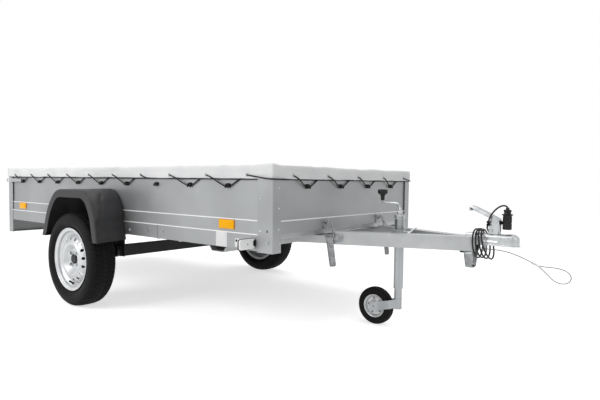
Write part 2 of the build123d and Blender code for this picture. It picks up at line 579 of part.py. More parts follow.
def tyre():
    """Tread, sidewalls and beads; columns: radius, offset from the tyre's middle."""
    r, half, seat = TYRE_RADIUS, TYRE_WIDTH / 2, RIM_BEAD + SEAT
    bead = RIM_HALF - 0.5
    outside = [
        (seat, bead - 6), (seat + 6, bead), (RIM_FLANGE + 3, bead), (seat + 45, half), (r - 40, half - 3),
        (r - 14, half - 12), (r - 3, half - 26), (r, half - 48),
    ]
    inside = [(r - 22, half - 22), (seat + 40, half - 12), (seat, bead - 16)]
    line = [(a, -b) for a, b in outside] + outside[::-1] + inside[::-1] + [(a, -b) for a, b in inside]
    return lathe(line, (AXLE_X, -WHEEL_Y, AXLE_Z))


FENDER_SHIFT = 13.0        # middle of the mudguard ahead of the wheel's centre
FENDER_RISE = 120.0        # its lower edge over the wheel's centre
FENDER_BEND = 14.0
# columns: distance forward of the middle over the tyre's radius, height over the tyre's radius
FENDER_OUTER = [(-0.900, 1.090), (-0.550, 1.478), (0.605, 1.482), (0.850, 1.328), (1.040, 0.990)]
FENDER_INNER = [(-0.830, 1.045), (-0.440, 1.464), (0.385, 1.474), (0.587, 1.328), (0.777, 1.008)]
# forward of the middle over the tyre's radius, at the feet: behind and ahead
OUTER_FEET, INNER_FEET = (-1.150, 1.160), (-0.960, 0.917)


def fender_outline(row, feet):
    """One side of the mudguard, run on below its feet along the slope of its legs."""
    points = [(x * TYRE_RADIUS, z * TYRE_RADIUS) for x, z in row]
    for place, foot in ((0, feet[0] * TYRE_RADIUS), (-1, feet[1] * TYRE_RADIUS)):
        x, z = points[place]
        skew = (foot - x) / (z - FENDER_RISE)
        points.insert(place and len(points), (foot + 2 * FENDER_LIP * skew, FENDER_RISE - 2 * FENDER_LIP))
    line = [(AXLE_X + FENDER_SHIFT + x, AXLE_Z + z) for x, z in points]
    return make_face(FilletPolyline(*line, radius=FENDER_BEND, close=True))


def fender():
    """An angular plastic mudguard, narrower at the sill, with a lip round its arch on each side."""
    outer, inner = fender_outline(FENDER_OUTER, OUTER_FEET), fender_outline(FENDER_INNER, INNER_FEET)
    outer_y, inner_y = FENDER_OUT, HALF + FENDER_GAP

    def between(inset, margin):
        """The solid between the two sides, each drawn in by an inset and set in by a margin."""
        sides = [offset(side, -inset) if inset else side for side in (outer, inner)]
        places = (-outer_y + margin, -inner_y - margin)
        return loft([Pos(0, y, 0) * Rot(90, 0, 0) * side for y, side in zip(places, sides)], ruled=True)

    shell = between(0, 0) - between(FENDER_SHEET, FENDER_SHEET)
    shell = shell - drawn("XZ", offset(outer, -FENDER_LIP), -outer_y - 1, -outer_y + FENDER_SHEET + 1)
    shell = shell - drawn("XZ", offset(inner, -FENDER_LIP), -inner_y - FENDER_SHEET - 1, -inner_y + 1)
    return shell & slab(REAR, FRONT, -outer_y, 0, AXLE_Z + FENDER_RISE, TOP)


# ---- tailgate and its fastenings ---------------------------------------------------------------
TAILGATE_GAP, TAILGATE_FOOT, TAILGATE_RAIL, SIDE_GAP = 7.0, 14.0, 28.0, 6.0
TAILGATE_LOW = BOARD_TOP + TAILGATE_GAP
HINGE_OUT, HINGE_PIN, HINGE_LEAF, HINGE_HALF, KNUCKLE = 12.0, 10.0, 3.0, 45.0, 18.0
KNUCKLE_HALF = HINGE_HALF / 3
HINGE_X, HINGE_Z = REAR - HINGE_OUT, (BOARD_TOP + TAILGATE_LOW) / 2
HINGE_INSET = 204.0        # sill to the middle of an outer hinge
HINGE_PLACES = (-HALF + HINGE_INSET, 0.0, HALF - HINGE_INSET)
LEAF_LOW, LEAF_HIGH, STRAP_RISE = BOARD_TOP - 20.0, BOARD_TOP - 2.0, 60.0
SWING_GAP = 5.0            # the opening tailgate's top corner under the cover
SWING = TOP - SWING_GAP - HINGE_Z
TAILGATE_TOP = HINGE_Z + (SWING ** 2 - (HINGE_OUT + TAILGATE_RAIL) ** 2) ** 0.5


def tailgate():
    """The panel with its rib and rail, a strap and a knuckle at each hinge."""
    half = HALF + POST_SHEET - REAR_POST_FACE - SIDE_GAP
    line = [
        (REAR + TAILGATE_RAIL - 4, TAILGATE_LOW + TAILGATE_FOOT), (REAR + TAILGATE_RAIL - 4, TAILGATE_LOW),
        (REAR, TAILGATE_LOW), (REAR, RIB_Z - RIB_STEP), (REAR + RIB_STEP, RIB_Z),
        (REAR + RIB_STEP, TAILGATE_TOP), (REAR + TAILGATE_RAIL, TAILGATE_TOP),
        (REAR + TAILGATE_RAIL, TAILGATE_TOP - RAIL_DEPTH),
    ]
    panel = sheet("XZ", line[::-1], -half, half)
    for y in HINGE_PLACES:
        side = (y - KNUCKLE_HALF, y + KNUCKLE_HALF)
        panel = panel + slab(HINGE_X, REAR, *side, HINGE_Z, HINGE_Z + KNUCKLE / 2)
        panel = panel + slab(REAR - HINGE_LEAF, REAR, *side, HINGE_Z, TAILGATE_LOW + STRAP_RISE)
        panel = panel + rod((HINGE_X, side[0], HINGE_Z), (HINGE_X, side[1], HINGE_Z), KNUCKLE)
    return panel - rod((HINGE_X, -HALF, HINGE_Z), (HINGE_X, HALF, HINGE_Z), HINGE_PIN + 2 * FIT)


def tailgate_hinges():
    """The bed's half of each hinge: a leaf, two knuckles and the pin."""
    hinges = []
    for y in HINGE_PLACES:
        left, right = y - HINGE_HALF, y + HINGE_HALF
        hinge = slab(REAR - HINGE_LEAF, REAR + POST_SHEET, left, right, LEAF_LOW, LEAF_HIGH)
        hinge = hinge + rod((HINGE_X, left, HINGE_Z), (HINGE_X, right, HINGE_Z), HINGE_PIN)
        for side in (-1, 1):
            start, end = y + side * (KNUCKLE_HALF + SEAT + 0.2), y + side * HINGE_HALF
            hinge = hinge + rod((HINGE_X, start, HINGE_Z), (HINGE_X, end, HINGE_Z), KNUCKLE)
            hinge = hinge + slab(HINGE_X, REAR, start, end, HINGE_Z - KNUCKLE / 2, LEAF_HIGH)
        hinges.append(hinge)
    return Compound(children=hinges)


LATCH_DROP = 26.5          # the cover's hem to the middle of a tailgate latch
LATCH_Z = COVER_HEM - LATCH_DROP
# columns: start and end ahead of the rear post, inner and outer distance off the post, half height
LATCH_BARS = [(12.0, 62.0, 0.0, 4.0, 22.0), (30.0, 165.0, 4.0, 12.0, 13.0), (165.0, 247.0, 3.0, 16.0, 11.0)]
HOOK_WIRE, HOOK_PROUD, HOOK_OFF, HOOK_HALF = 6.0, 6.0, 9.0, 10.0


def tailgate_latch():
    """An over-centre lever on the rear post: base plate, lever with its grip, and the hook wire."""
    face = -HALF - POST_SHEET
    latch = Part()
    for start, end, inner, outer, half in LATCH_BARS:
        low, high = LATCH_Z - half, LATCH_Z + half
        latch = latch + slab(REAR + start, REAR + end, face - outer, face - inner, low, high)
    back, front, y = REAR - HOOK_PROUD, REAR + LATCH_BARS[1][0] + 4, face - HOOK_OFF
    for z in (LATCH_Z - HOOK_HALF, LATCH_Z + HOOK_HALF):
        latch = latch + rod((back, y, z), (front, y, z), HOOK_WIRE)
    cross = HOOK_HALF + HOOK_WIRE / 2
    return latch + rod((back, y, LATCH_Z - cross), (back, y, LATCH_Z + cross), HOOK_WIRE)


# ---- tilt latches ------------------------------------------------------------------------------
LEVER_REACH = 34.0         # front wall to the latch, along the arm
LEVER_WIDTH, LEVER_SHEET, LEVER_LENGTH, LEVER_LEAN, LEVER_OFF = 37.0, 6.0, 151.0, 8.0, 14.0
BRACKET_SIZE, BRACKET_AHEAD = (60.0, 11.0, 40.0), 26.0
HOOK_PLATE, PLATE_HALF = 4.0, 22.0
HOOK_REACH, HOOK_TOP, HOOK_LIP, CATCH_HALF = 22.0, 33.0, 18.0, 7.0
LOOP_ROD, LOOP_GAP, LOOP_HALF = 7.0, 5.0, 13.0
LATCH_X, LATCH_ARM_Y = arm_line(LEVER_REACH)
CATCH_Y, CATCH_Z = LATCH_ARM_Y - 24.0, SILL_HIGH + HOOK_TOP
LATCH_TURN = Rot(0, 0, ARM_ANGLE)


def tilt_hook():
    """The catch on the front wall that the latch's loop reaches for."""
    face = FRONT - RIB_STEP
    y0, y1 = CATCH_Y - CATCH_HALF, CATCH_Y + CATCH_HALF
    plate_y = (CATCH_Y - PLATE_HALF, CATCH_Y + PLATE_HALF)
    plate = slab(face, face + HOOK_PLATE, *plate_y, SILL_HIGH + 9, RIB_Z - 8)
    shelf = slab(face, face + HOOK_REACH, y0, y1, CATCH_Z, CATCH_Z + CATCH_HALF)
    lip = slab(face + HOOK_REACH - 6, face + HOOK_REACH, y0, y1, CATCH_Z, CATCH_Z + HOOK_LIP)
    return plate + shelf + lip


def tilt_latch():
    """The toggle on the drawbar arm: bracket, lever and the wire loop that reaches up to the hook."""
    out, top = ARM_WIDTH / 2 + LEVER_OFF, ARM_HIGH - 24.0
    lever = Pos(0, 0, -LEVER_LENGTH / 2) * Box(LEVER_WIDTH, LEVER_SHEET, LEVER_LENGTH)
    at_top = Pos(LATCH_X, LATCH_ARM_Y, top) * LATCH_TURN
    lever = at_top * Pos(-10, -out, 0) * Rot(0, -LEVER_LEAN, 0) * lever
    long, deep, tall = BRACKET_SIZE
    bracket = Pos(LATCH_X, LATCH_ARM_Y, (ARM_LOW + ARM_HIGH) / 2) * LATCH_TURN * Pos(
        BRACKET_AHEAD, -ARM_WIDTH / 2 - deep / 2, 0) * Box(long, deep, tall)
    foot = (at_top * Pos(-6, -out - LEVER_SHEET / 2, -4)).position
    loop_x = FRONT - RIB_STEP + HOOK_REACH + LOOP_GAP + LOOP_ROD / 2
    ends = [(loop_x, CATCH_Y + side * LOOP_HALF, CATCH_Z + LOOP_HALF) for side in (-1, 1)]
    latch = lever + bracket + rod(*ends, LOOP_ROD)
    for side, end in zip((-8, 8), ends):
        latch = latch + rod((foot.X + side, foot.Y - 1, foot.Z), end, LOOP_ROD)
        latch = latch + Pos(*end) * Sphere(LOOP_ROD / 2)
    return latch


# ---- lamps, reflectors and plate ---------------------------------------------------------------
LAMP_LENGTH, LAMP_DEPTH, LAMP_GAP, LENS_ROUND = 218.0, 82.0, 4.0, 12.0
PLATE_LENGTH, PLATE_DEPTH, PLATE_PROUD, PLATE_RISE = 510.0, 102.0, 4.0, 39.0
TRIANGLE_SIDE, TRIANGLE_PROUD, TRIANGLE_DROP, TRIANGLE_GAP = 140.0, 7.0, 10.0, 5.0
MARKER_LENGTH, MARKER_HEIGHT, MARKER_DEPTH = 104.0, 51.0, 34.0
MARKER_SETBACK, MARKER_RISE = 100.0, 35.0
REFLECTOR_LENGTH, REFLECTOR_HEIGHT = 104.0, 44.0
REFLECTOR_PROUD, REFLECTOR_RISE = 6.0, 4.0
REFLECTOR_PLACES = (FRONT - 289.0, REAR + 238.0)
LAMP_OUTER = -HALF - POST_SHEET + REAR_POST_FACE + LAMP_GAP
LAMP_INNER = LAMP_OUTER + LAMP_LENGTH


def tail_lamp():
    z, half = (BOARD_LOW + SILL_LOW) / 2, LAMP_DEPTH / 2
    body = slab(REAR - LAMP_PROUD, REAR + POST_SHEET, LAMP_OUTER, LAMP_INNER, z - half, z + half)
    return fillet(body.edges().filter_by(Axis.X), LENS_ROUND)


def triangle_reflector():
    y, low = LAMP_INNER + TRIANGLE_GAP + TRIANGLE_SIDE / 2, BOARD_LOW - TRIANGLE_DROP
    half = TRIANGLE_SIDE / 2
    points = [(y - half, low), (y + half, low), (y, low + TRIANGLE_SIDE * sin(radians(60)))]
    return prism("YZ", points, REAR - TRIANGLE_PROUD, REAR + POST_SHEET)


def number_plate():
    middle, half = BOARD_LOW + PLATE_RISE, PLATE_LENGTH / 2
    low, high = middle - PLATE_DEPTH / 2, middle + PLATE_DEPTH / 2
    return slab(REAR - PLATE_PROUD, REAR + POST_SHEET, -half, half, low, high)


def front_marker():
    """A white position lamp in a rubber holder that stands out from the sill."""
    x, low = FRONT - MARKER_SETBACK, SILL_LOW + MARKER_RISE - MARKER_HEIGHT / 2
    body = slab(x - MARKER_DEPTH, x, -HALF - MARKER_LENGTH, -HALF, low, low + MARKER_HEIGHT)
    return fillet(body.edges().filter_by(Axis.X), LENS_ROUND)


def side_reflector(x):
    face, half = -HALF + RIB_STEP, REFLECTOR_LENGTH / 2
    low = (SILL_HIGH + RIB_Z - REFLECTOR_HEIGHT) / 2 + REFLECTOR_RISE
    return slab(x - half, x + half, face - REFLECTOR_PROUD, face, low, low + REFLECTOR_HEIGHT)


def side_reflectors():
    near = [side_reflector(x) for x in REFLECTOR_PLACES]
    return Compound(children=near + [mirrored(plate) for plate in near])


# ---- cover -------------------------------------------------------------------------------------
COVER_HALF = HALF + POST_SHEET + COVER_GAP + COVER_THICK
COVER_BACK = REAR - COVER_GAP


def tarp_cover():
    """The flat cover with a skirt down the front and both sides."""
    front, below = FRONT + POST_SHEET + COVER_GAP + COVER_THICK, COVER_HEM - 1
    outer = slab(COVER_BACK, front, -COVER_HALF, COVER_HALF, COVER_HEM, COVER_TOP)
    inner_half = COVER_HALF - COVER_THICK
    back, ahead = COVER_BACK - 1, front - COVER_THICK
    return outer - slab(back, ahead, -inner_half, inner_half, below, TOP + COVER_GAP)


def tarp_rear_flap():
    """The skirt behind, which is let go to open the tailgate."""
    return slab(COVER_BACK - COVER_THICK, COVER_BACK - SEAT, -COVER_HALF, COVER_HALF, COVER_HEM, COVER_TOP)


# ---- lead and safety wire ----------------------------------------------------------------------
LEAD_DIAMETER, WIRE_DIAMETER = 7.5, 4.0


def at_nose(forward, left, up):
    """A place given from the coupling's tip, the centre plane and the top of the arms."""
    return TIP + forward, left, ARM_HIGH + up


def cord(points, diameter):
    """A round cord along a route of straight runs joined by arcs as large as the runs allow."""
    points = [Vector(*at_nose(*p)) for p in points]
    runs = [b - a for a, b in zip(points, points[1:])]
    radii = []
    for before, after in zip(runs, runs[1:]):
        half_turn = radians(before.get_angle(after)) / 2
        radii.append(0.45 * min(before.length, after.length) / tan(half_turn))
    path = FilletPolyline(*points, radius=radii)
    section = Plane(origin=path @ 0, z_dir=path % 0) * Circle(diameter / 2)
    tube = sweep(section, path=path)
    print("cord radii", [round(r) for r in radii], "length", round(path.length),
          "volume ratio", round(tube.volume / (path.length * pi * diameter ** 2 / 4), 4))
    return tube


# The lead leaves a gland under the nose, winds round it, passes the tie and arches to the plug.
COIL_START, COIL_PITCH, COIL_SLANT = -196.0, 0.86, 40.0
COIL_FIRST_ANGLE, COIL_STEP_ANGLE, COIL_STEPS = 70.0, 30.0, 51
COIL_MIDDLE, COIL_HALF_WIDTH, COIL_HALF_HEIGHT = -28.0, 61.5, 67.5
LEAD_START = [(-252.0, 34.0, -76.0), (-225.0, 42.0, -74.0)]
PLUG = (-55.0, -10.0)
PLUG_LOW, PLUG_WING, PLUG_NECK, PLUG_HIGH = 42.0, 105.0, 111.0, 129.0
LEAD_END = [
    (-143.0, 2.0, 42.0), (-140.0, -13.0, 47.0), (-135.0, -24.0, 56.0), (-130.0, -30.0, 70.0),
    (-126.0, -31.0, 86.0), (-120.0, -30.0, 102.0), (-111.0, -27.0, 117.0), (-100.0, -23.0, 130.5),
    (-87.0, -18.5, 141.5), (-73.0, -14.0, 147.5), (-61.0, -11.0, 145.5), (*PLUG, 137.5), (*PLUG, PLUG_HIGH),
]


def lead_points():
    turns = []
    for i in range(COIL_STEPS + 1):
        a = radians(COIL_FIRST_ANGLE + COIL_STEP_ANGLE * i)
        swing = 1 + 0.03 * sin(1.4 * i)
        slant = COIL_SLANT * (1 + cos(a)) / 2 * i / COIL_STEPS
        left, up = COIL_HALF_WIDTH * sin(a) * swing, COIL_MIDDLE - COIL_HALF_HEIGHT * cos(a) * swing
        turns.append((COIL_START + COIL_PITCH * i + slant, left, up))
    return LEAD_START + turns + LEAD_END


PLUG_BODY, PLUG_COLLAR, PLUG_CAP = 36.0, 46.0, 32.0


def lead_plug():
    """A round plug with a collar, parked upright."""
    heights = (PLUG_LOW, PLUG_WING, PLUG_NECK, PLUG_HIGH)
    low, middle, high = [
        rod(at_nose(*PLUG, start), at_nose(*PLUG, end), size)
        for start, end, size in zip(heights, heights[1:], (PLUG_BODY, PLUG_COLLAR, PLUG_CAP))
    ]
    return low + middle + high


def plug_holder():
    """The clip on the handle's ears that the plug is parked in."""
    x0, x1 = TIP - EAR_FRONT + SEAT, TIP + PLUG[0] - PLUG_BODY / 2 - SEAT
    clip = slab(x0, x1, PLUG[1] - 9, PLUG[1] + 9, ARM_HIGH + 57, ARM_HIGH + 79)
    return clip + slab(x0, x0 + 4, -HANDLE_HALF + 1, HANDLE_HALF - 1, SOCKET_TOP, ARM_HIGH + 85)


GLAND, GLAND_LENGTH, GLAND_BLOCK = 15.0, 12.0, (-276.0, -260.0, 24.0, 40.0, -82.0)


def lead_gland():
    """The block under the left arm that the lead comes out of."""
    forward, left, up = LEAD_START[0]
    x0, x1, y0, y1, low = GLAND_BLOCK
    block = slab(TIP + x0, TIP + x1, y0, y1, ARM_HIGH + low, ARM_LOW - SEAT)
    return block + rod(at_nose(forward - GLAND_LENGTH, left - 2, up + 2), at_nose(forward, left, up), GLAND)


# The safety wire passes to the left of the ball's socket.
WIRE_START = (-152.0, 10.0, -53.0)
WIRE_POINTS = [
    WIRE_START, (-110.0, 21.0, -54.0), (-66.0, 34.0, -60.0), (-20.0, 40.0, -74.0), (30.0, 38.0, -94.0),
    (74.0, 34.0, -111.0), (118.0, 31.0, -109.5), (152.0, 30.0, -111.0), (180.0, 29.0, -120.0),
    (195.5, 28.0, -138.0), (192.5, 28.0, -159.0), (174.0, 28.0, -172.5), (150.0, 28.0, -173.5),
    (126.0, 29.0, -164.0), (104.0, 30.0, -142.0), (78.0, 32.0, -119.0),
]
FERRULE_ENDS, FERRULE = [(38.0, 37.5, -98.5), (75.0, 33.0, -112.5)], 11.0


def wire_ferrule():
    """The pressed sleeve that closes the wire's loop."""
    start, end = FERRULE_ENDS
    return rod(at_nose(*start), at_nose(*end), FERRULE)


def wire_clamp():
    """The strap and eye under the nose that hold the safety wire."""
    x, left, up = at_nose(*WIRE_START)
    eye = slab(x - 10, x, left - 10, left + 10, up - 10, SOCKET_LOW)
    return eye + slab(x - 10, x + 14, -COUPLING_HALF, COUPLING_HALF, SOCKET_LOW - 4, SOCKET_LOW)


# ---- build and write ---------------------------------------------------------------------------
for make in (drawbar_arm, side_wall, hub, rim, tyre, fender):
    pair(make.__name__, make())
for make in (drawbar_cross_member, support_skid, coupling_body, coupling_handle, plug_holder, jockey_clamp,
             clamp_handle, jockey_outer_tube, jockey_crank, jockey_inner_tube, jockey_fork, front_wall,
             floor_panel, floor_bearers, light_board, axle_beam, tailgate, tailgate_hinges, side_reflectors,
             number_plate, tarp_cover, tarp_rear_flap, lead_gland, lead_plug, wire_ferrule, wire_clamp):
    parts[make.__name__] = make()
for name, make in (
    ("front_posts", front_post), ("rear_posts", rear_post), ("pivot_brackets", pivot_bracket),
    ("tilt_hooks", tilt_hook), ("tilt_latches", tilt_latch), ("axle_arms", axle_arm),
    ("tailgate_latches", tailgate_latch), ("tail_lamps", tail_lamp), ("front_markers", front_marker),
    ("triangle_reflectors", triangle_reflector),
):
    parts[name] = both(make())
parts["jockey_tyre"], parts["jockey_hub"] = jockey_wheel()
parts["lead_cable"] = cord(lead_points(), LEAD_DIAMETER)
parts["safety_wire"] = cord(WIRE_POINTS, WIRE_DIAMETER)

os.makedirs("parts", exist_ok=True)
for name, shape in parts.items():
    export_step(shape, f"parts/{name}.step")
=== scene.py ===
from math import cos, pi, radians, sin

import bmesh
import bpy
import numpy as np
from mathutils import Matrix, Vector


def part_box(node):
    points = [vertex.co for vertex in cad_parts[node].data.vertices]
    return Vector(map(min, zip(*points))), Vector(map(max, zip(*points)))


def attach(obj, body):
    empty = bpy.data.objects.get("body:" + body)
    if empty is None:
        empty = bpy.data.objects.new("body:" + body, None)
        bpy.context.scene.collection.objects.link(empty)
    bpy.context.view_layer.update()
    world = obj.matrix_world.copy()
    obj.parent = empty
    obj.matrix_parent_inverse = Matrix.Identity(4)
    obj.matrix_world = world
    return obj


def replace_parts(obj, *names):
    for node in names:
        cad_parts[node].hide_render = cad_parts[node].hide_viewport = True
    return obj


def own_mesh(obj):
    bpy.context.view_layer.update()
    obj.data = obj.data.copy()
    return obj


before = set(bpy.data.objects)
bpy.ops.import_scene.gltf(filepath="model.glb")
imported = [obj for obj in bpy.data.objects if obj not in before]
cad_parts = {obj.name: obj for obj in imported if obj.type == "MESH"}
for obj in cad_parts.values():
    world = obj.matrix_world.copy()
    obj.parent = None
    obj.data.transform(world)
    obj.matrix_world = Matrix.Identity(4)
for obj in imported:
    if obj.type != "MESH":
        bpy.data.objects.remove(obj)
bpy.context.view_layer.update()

# Places in metres, in the frame of the model: +X forward, +Y left, +Z up, ground at Z = 0.
FRONT, REAR, TIP = 0.939, -1.761, 1.791
HALF = 0.654
SILL_HIGH, RIB_Z, COVER_TOP, HEM, ARM_HIGH = 0.497, 0.56, 0.81, 0.7475, 0.495
AXLE_X, AXLE_Z, WHEEL_Y = -0.437, 0.2727, 0.789
JOCKEY_X, JOCKEY_AXLE_X, JOCKEY_AXLE_Z = 1.213, 1.087, 0.0966
COLLAR_TOP = 0.571
X, Y, Z = np.eye(3)
SIDES = (-1, "right"), (1, "left")


# ---- camera ------------------------------------------------------------------------------------
CAMERA_AT, LENS_MM = (2.3716, -2.2766, 0.737), 29.92
YAW, PITCH, ROLL = radians(38.2606), radians(2.3623), radians(0.7027)


def linked(name, data):
    """A new object in the scene."""
    made = bpy.data.objects.new(name, data)
    bpy.context.scene.collection.objects.link(made)
    return made


def place_camera():
    """Looks along (-sin yaw, cos yaw) from beside the coupling, a little down, a little rolled."""
    ahead = Vector((-sin(YAW) * cos(PITCH), cos(YAW) * cos(PITCH), -sin(PITCH)))
    level = Vector((cos(YAW), sin(YAW), 0))
    upright = level.cross(ahead)
    across = level * cos(ROLL) + upright * sin(ROLL)
    up = upright * cos(ROLL) - level * sin(ROLL)
    camera = linked("camera", bpy.data.cameras.new("camera"))
    camera.data.sensor_width, camera.data.lens = 36.0, LENS_MM
    camera.data.shift_x, camera.data.shift_y = -0.0008, 0.0033
    turn = Matrix((across, up, -ahead)).transposed().to_4x4()
    camera.matrix_world = Matrix.Translation(CAMERA_AT) @ turn
    bpy.context.scene.camera = camera


place_camera()


# ---- materials ---------------------------------------------------------------------------------
def linear(colour):
    """The linear RGBA of an sRGB hex colour."""
    parts = [int(colour[i:i + 2], 16) / 255 for i in (1, 3, 5)]
    return [p / 12.92 if p <= 0.04045 else ((p + 0.055) / 1.055) ** 2.4 for p in parts] + [1.0]


def add(tree, kind, inputs=None, **settings):
    """One node with its settings; an input is a value or a socket to link from."""
    made = tree.nodes.new("ShaderNode" + kind)
    for key, value in settings.items():
        setattr(made, key, value)
    for key, value in (inputs or {}).items():
        if isinstance(value, bpy.types.NodeSocket):
            tree.links.new(value, made.inputs[key])
        else:
            made.inputs[key].default_value = value
    return made


def texture(tree, kind, mm, more=None):
    """A texture over the piece's own place; one cycle, cell or cloud of it measures that many mm."""
    settings = dict(more or {})
    stretch, inputs = settings.pop("stretch", None), settings.pop("inputs", {})
    place = add(tree, "TexCoord").outputs["Object"]
    if stretch:
        place = add(tree, "Mapping", {"Vector": place, "Scale": stretch}).outputs[0]
    # Blender's wave texture repeats after 2 pi / 20 of its scale
    scale = 1000 / mm * (2 * pi / 20 if kind == FLUTES else 1)
    return add(tree, kind, {"Vector": place, "Scale": scale, **inputs}, **settings).outputs[0]


def surface(name, tones, rough, pattern, grain, depth_mm, span=(0.3, 0.7), **inputs):
    """A material: a pattern moves its tone and roughness between two values, a grain gives relief."""
    material = bpy.data.materials.new(name)
    material.use_nodes = True
    tree = material.node_tree
    body = tree.nodes["Principled BSDF"]
    for key, value in inputs.items():
        body.inputs[key.replace("_", " ")].default_value = value
    share = add(tree, "MapRange", {0: texture(tree, *pattern), 1: span[0], 2: span[1]}).outputs[0]
    tone = add(tree, "Mix", {0: share, 6: linear(tones[0]), 7: linear(tones[1])}, data_type="RGBA")
    tree.links.new(tone.outputs[2], body.inputs["Base Color"])
    gloss = add(tree, "MapRange", {0: share, 3: rough[0], 4: rough[1]})
    tree.links.new(gloss.outputs[0], body.inputs["Roughness"])
    bump = add(tree, "Bump", {"Height": texture(tree, *grain), "Distance": depth_mm / 1000})
    tree.links.new(bump.outputs[0], body.inputs["Normal"])
    return material


NOISE, CELLS, FLUTES = "TexNoise", "TexVoronoi", "TexWave"
FINE_CLOUDS = dict(inputs={"Detail": 4.0})
SQUARES = dict(inputs={"Randomness": 0.0}, distance="CHEBYCHEV")
UPRIGHT = dict(bands_direction="Y")

# hot-dipped sheet: smooth mid-grey zinc in soft clouds, with 18 mm crystals that hardly show
SIDE_STEEL = surface(
    "galvanised_sheet", ("#989A9B", "#A6A8A9"), (0.38, 0.46), (NOISE, 300), (CELLS, 18), 0.02, Metallic=0.55)
# hot-dipped heavier sheet of the corner posts: a shade lighter than the panels
POST_STEEL = surface(
    "galvanised_post", ("#9B9D9E", "#A9ABAC"), (0.36, 0.44), (NOISE, 200), (CELLS, 14), 0.02, Metallic=0.55)
# folds drawn near white: a painted highlight along the step of each fold
PAINTED_HIGHLIGHT_EDGE = surface(
    "painted_highlight_fold", ("#F0F1F1", "#FAFAFA"), (0.34, 0.4), (NOISE, 300), (NOISE, 60), 0.005, Metallic=0.15)
# hot-dipped tube: lighter and cloudier than sheet
TUBE_STEEL = surface(
    "galvanised_tube", ("#A6A8A9", "#BABCBD"), (0.32, 0.42), (NOISE, 120, FINE_CLOUDS), (CELLS, 11), 0.03,
    Metallic=0.6)
# bright plating: cool, slightly cloudy, with tight highlights
ZINC = surface(
    "zinc_plated_steel", ("#A6A9AB", "#BEC0C1"), (0.26, 0.36), (NOISE, 40, FINE_CLOUDS), (NOISE, 4), 0.05,
    Metallic=0.85)
# plated drawn tube: darker and cleaner than the pressed parts, so the round of the tube shows
DRAWN_ZINC = surface(
    "zinc_plated_tube", ("#8C8F91", "#A4A7A9"), (0.2, 0.28), (NOISE, 60, dict(stretch=(1, 1, 0.2))),
    (NOISE, 6), 0.02, Metallic=0.9)
# weathered plating of the small clasps: darker, so that their edges catch the light
DULL_ZINC = surface(
    "weathered_zinc", ("#7C7E80", "#A0A2A4"), (0.28, 0.38), (NOISE, 20), (NOISE, 3), 0.05, Metallic=0.8)
# PVC-coated polyester: near white, satin; its yarns, 0.5 mm apart, are drawn 2 mm apart so that they show
CLOTH = surface(
    "pvc_coated_cloth", ("#DADBDC", "#EAEAEA"), (0.5, 0.6), (NOISE, 220, FINE_CLOUDS), (CELLS, 2, SQUARES),
    0.1, Sheen_Weight=0.08)
# phenolic film-faced plywood: dark brown, its pressed mesh of 1.5 mm drawn at 6 mm so that it shows
PLYWOOD = surface(
    "film_faced_plywood", ("#2A201A", "#3E3028"), (0.42, 0.5), (NOISE, 30, dict(stretch=(0.08, 1.0, 1.0))),
    (CELLS, 6, SQUARES), 0.25)
# moulded mudguard: dark grey, matt, its 0.5 mm grain drawn at 1.8 mm so that it shows
FENDER = surface(
    "polypropylene_mudguard", ("#2C2C2D", "#38383A"), (0.46, 0.58), (NOISE, 90), (NOISE, 1.8), 0.1,
    Specular_IOR_Level=0.3)
# injection-moulded small parts: black, a little gloss on their edges
PLASTIC = surface(
    "black_polyamide", ("#0D0D0E", "#161617"), (0.4, 0.52), (NOISE, 60), (NOISE, 1.2), 0.06,
    Specular_IOR_Level=0.3)
# moulded rubber: dull black, nearly without shine
RUBBER = surface(
    "black_rubber", ("#0B0B0B", "#131313"), (0.62, 0.74), (NOISE, 60), (NOISE, 2.5), 0.1,
    Specular_IOR_Level=0.15)
# vulcanised tyre: near black on the tread, a trace greyer where dust sits
TYRE = surface(
    "tyre_rubber", ("#080808", "#121212"), (0.56, 0.72), (NOISE, 60, dict(inputs={"Detail": 5.0})),
    (NOISE, 2.5), 0.08, Specular_IOR_Level=0.14)
# sprayed wheel lacquer: satin, its metal flake of 0.1 mm drawn at 1.5 mm so that it shows
SILVER = surface(
    "silver_lacquer", ("#C0C2C4", "#D2D4D5"), (0.42, 0.48), (NOISE, 70), (NOISE, 1.5), 0.01, Metallic=0.5,
    Coat_Weight=0.12)
# sprayed chassis paint over steel, slightly wavy
BLACK_PAINT = surface(
    "black_chassis_paint", ("#0B0B0C", "#151517"), (0.4, 0.55), (NOISE, 50), (NOISE, 5), 0.1,
    Specular_IOR_Level=0.3)
# acrylic over corner-cube prisms: a strong colour broken into small bright cells
AMBER = surface(
    "amber_acrylic", ("#FFA800", "#FFBA00"), (0.3, 0.36), (CELLS, 3.5), (CELLS, 3.5), 0.2, (0.1, 0.6),
    Specular_IOR_Level=0.15)
RED = surface(
    "red_acrylic", ("#7E060C", "#C4121A"), (0.18, 0.24), (CELLS, 4), (CELLS, 4), 0.25, (0.1, 0.6),
    Coat_Weight=0.4)
# moulded lamp lenses: upright flutes 5 mm apart inside a smooth face
RED_LENS = surface(
    "red_lens", ("#8A0A10", "#B80F16"), (0.12, 0.16), (FLUTES, 5, UPRIGHT), (FLUTES, 5, UPRIGHT), 0.3,
    (0.0, 1.0), Coat_Weight=0.6)
AMBER_LENS = surface(
    "amber_lens", ("#D07600", "#F29A10"), (0.16, 0.2), (FLUTES, 5, UPRIGHT), (FLUTES, 5, UPRIGHT), 0.3,
    (0.0, 1.0), Coat_Weight=0.4)
CLEAR_LENS = surface(
    "clear_lens", ("#DCDDDE", "#FBFBFB"), (0.2, 0.26), (CELLS, 5), (CELLS, 5), 0.15, (0.0, 0.5),
    Coat_Weight=0.3)
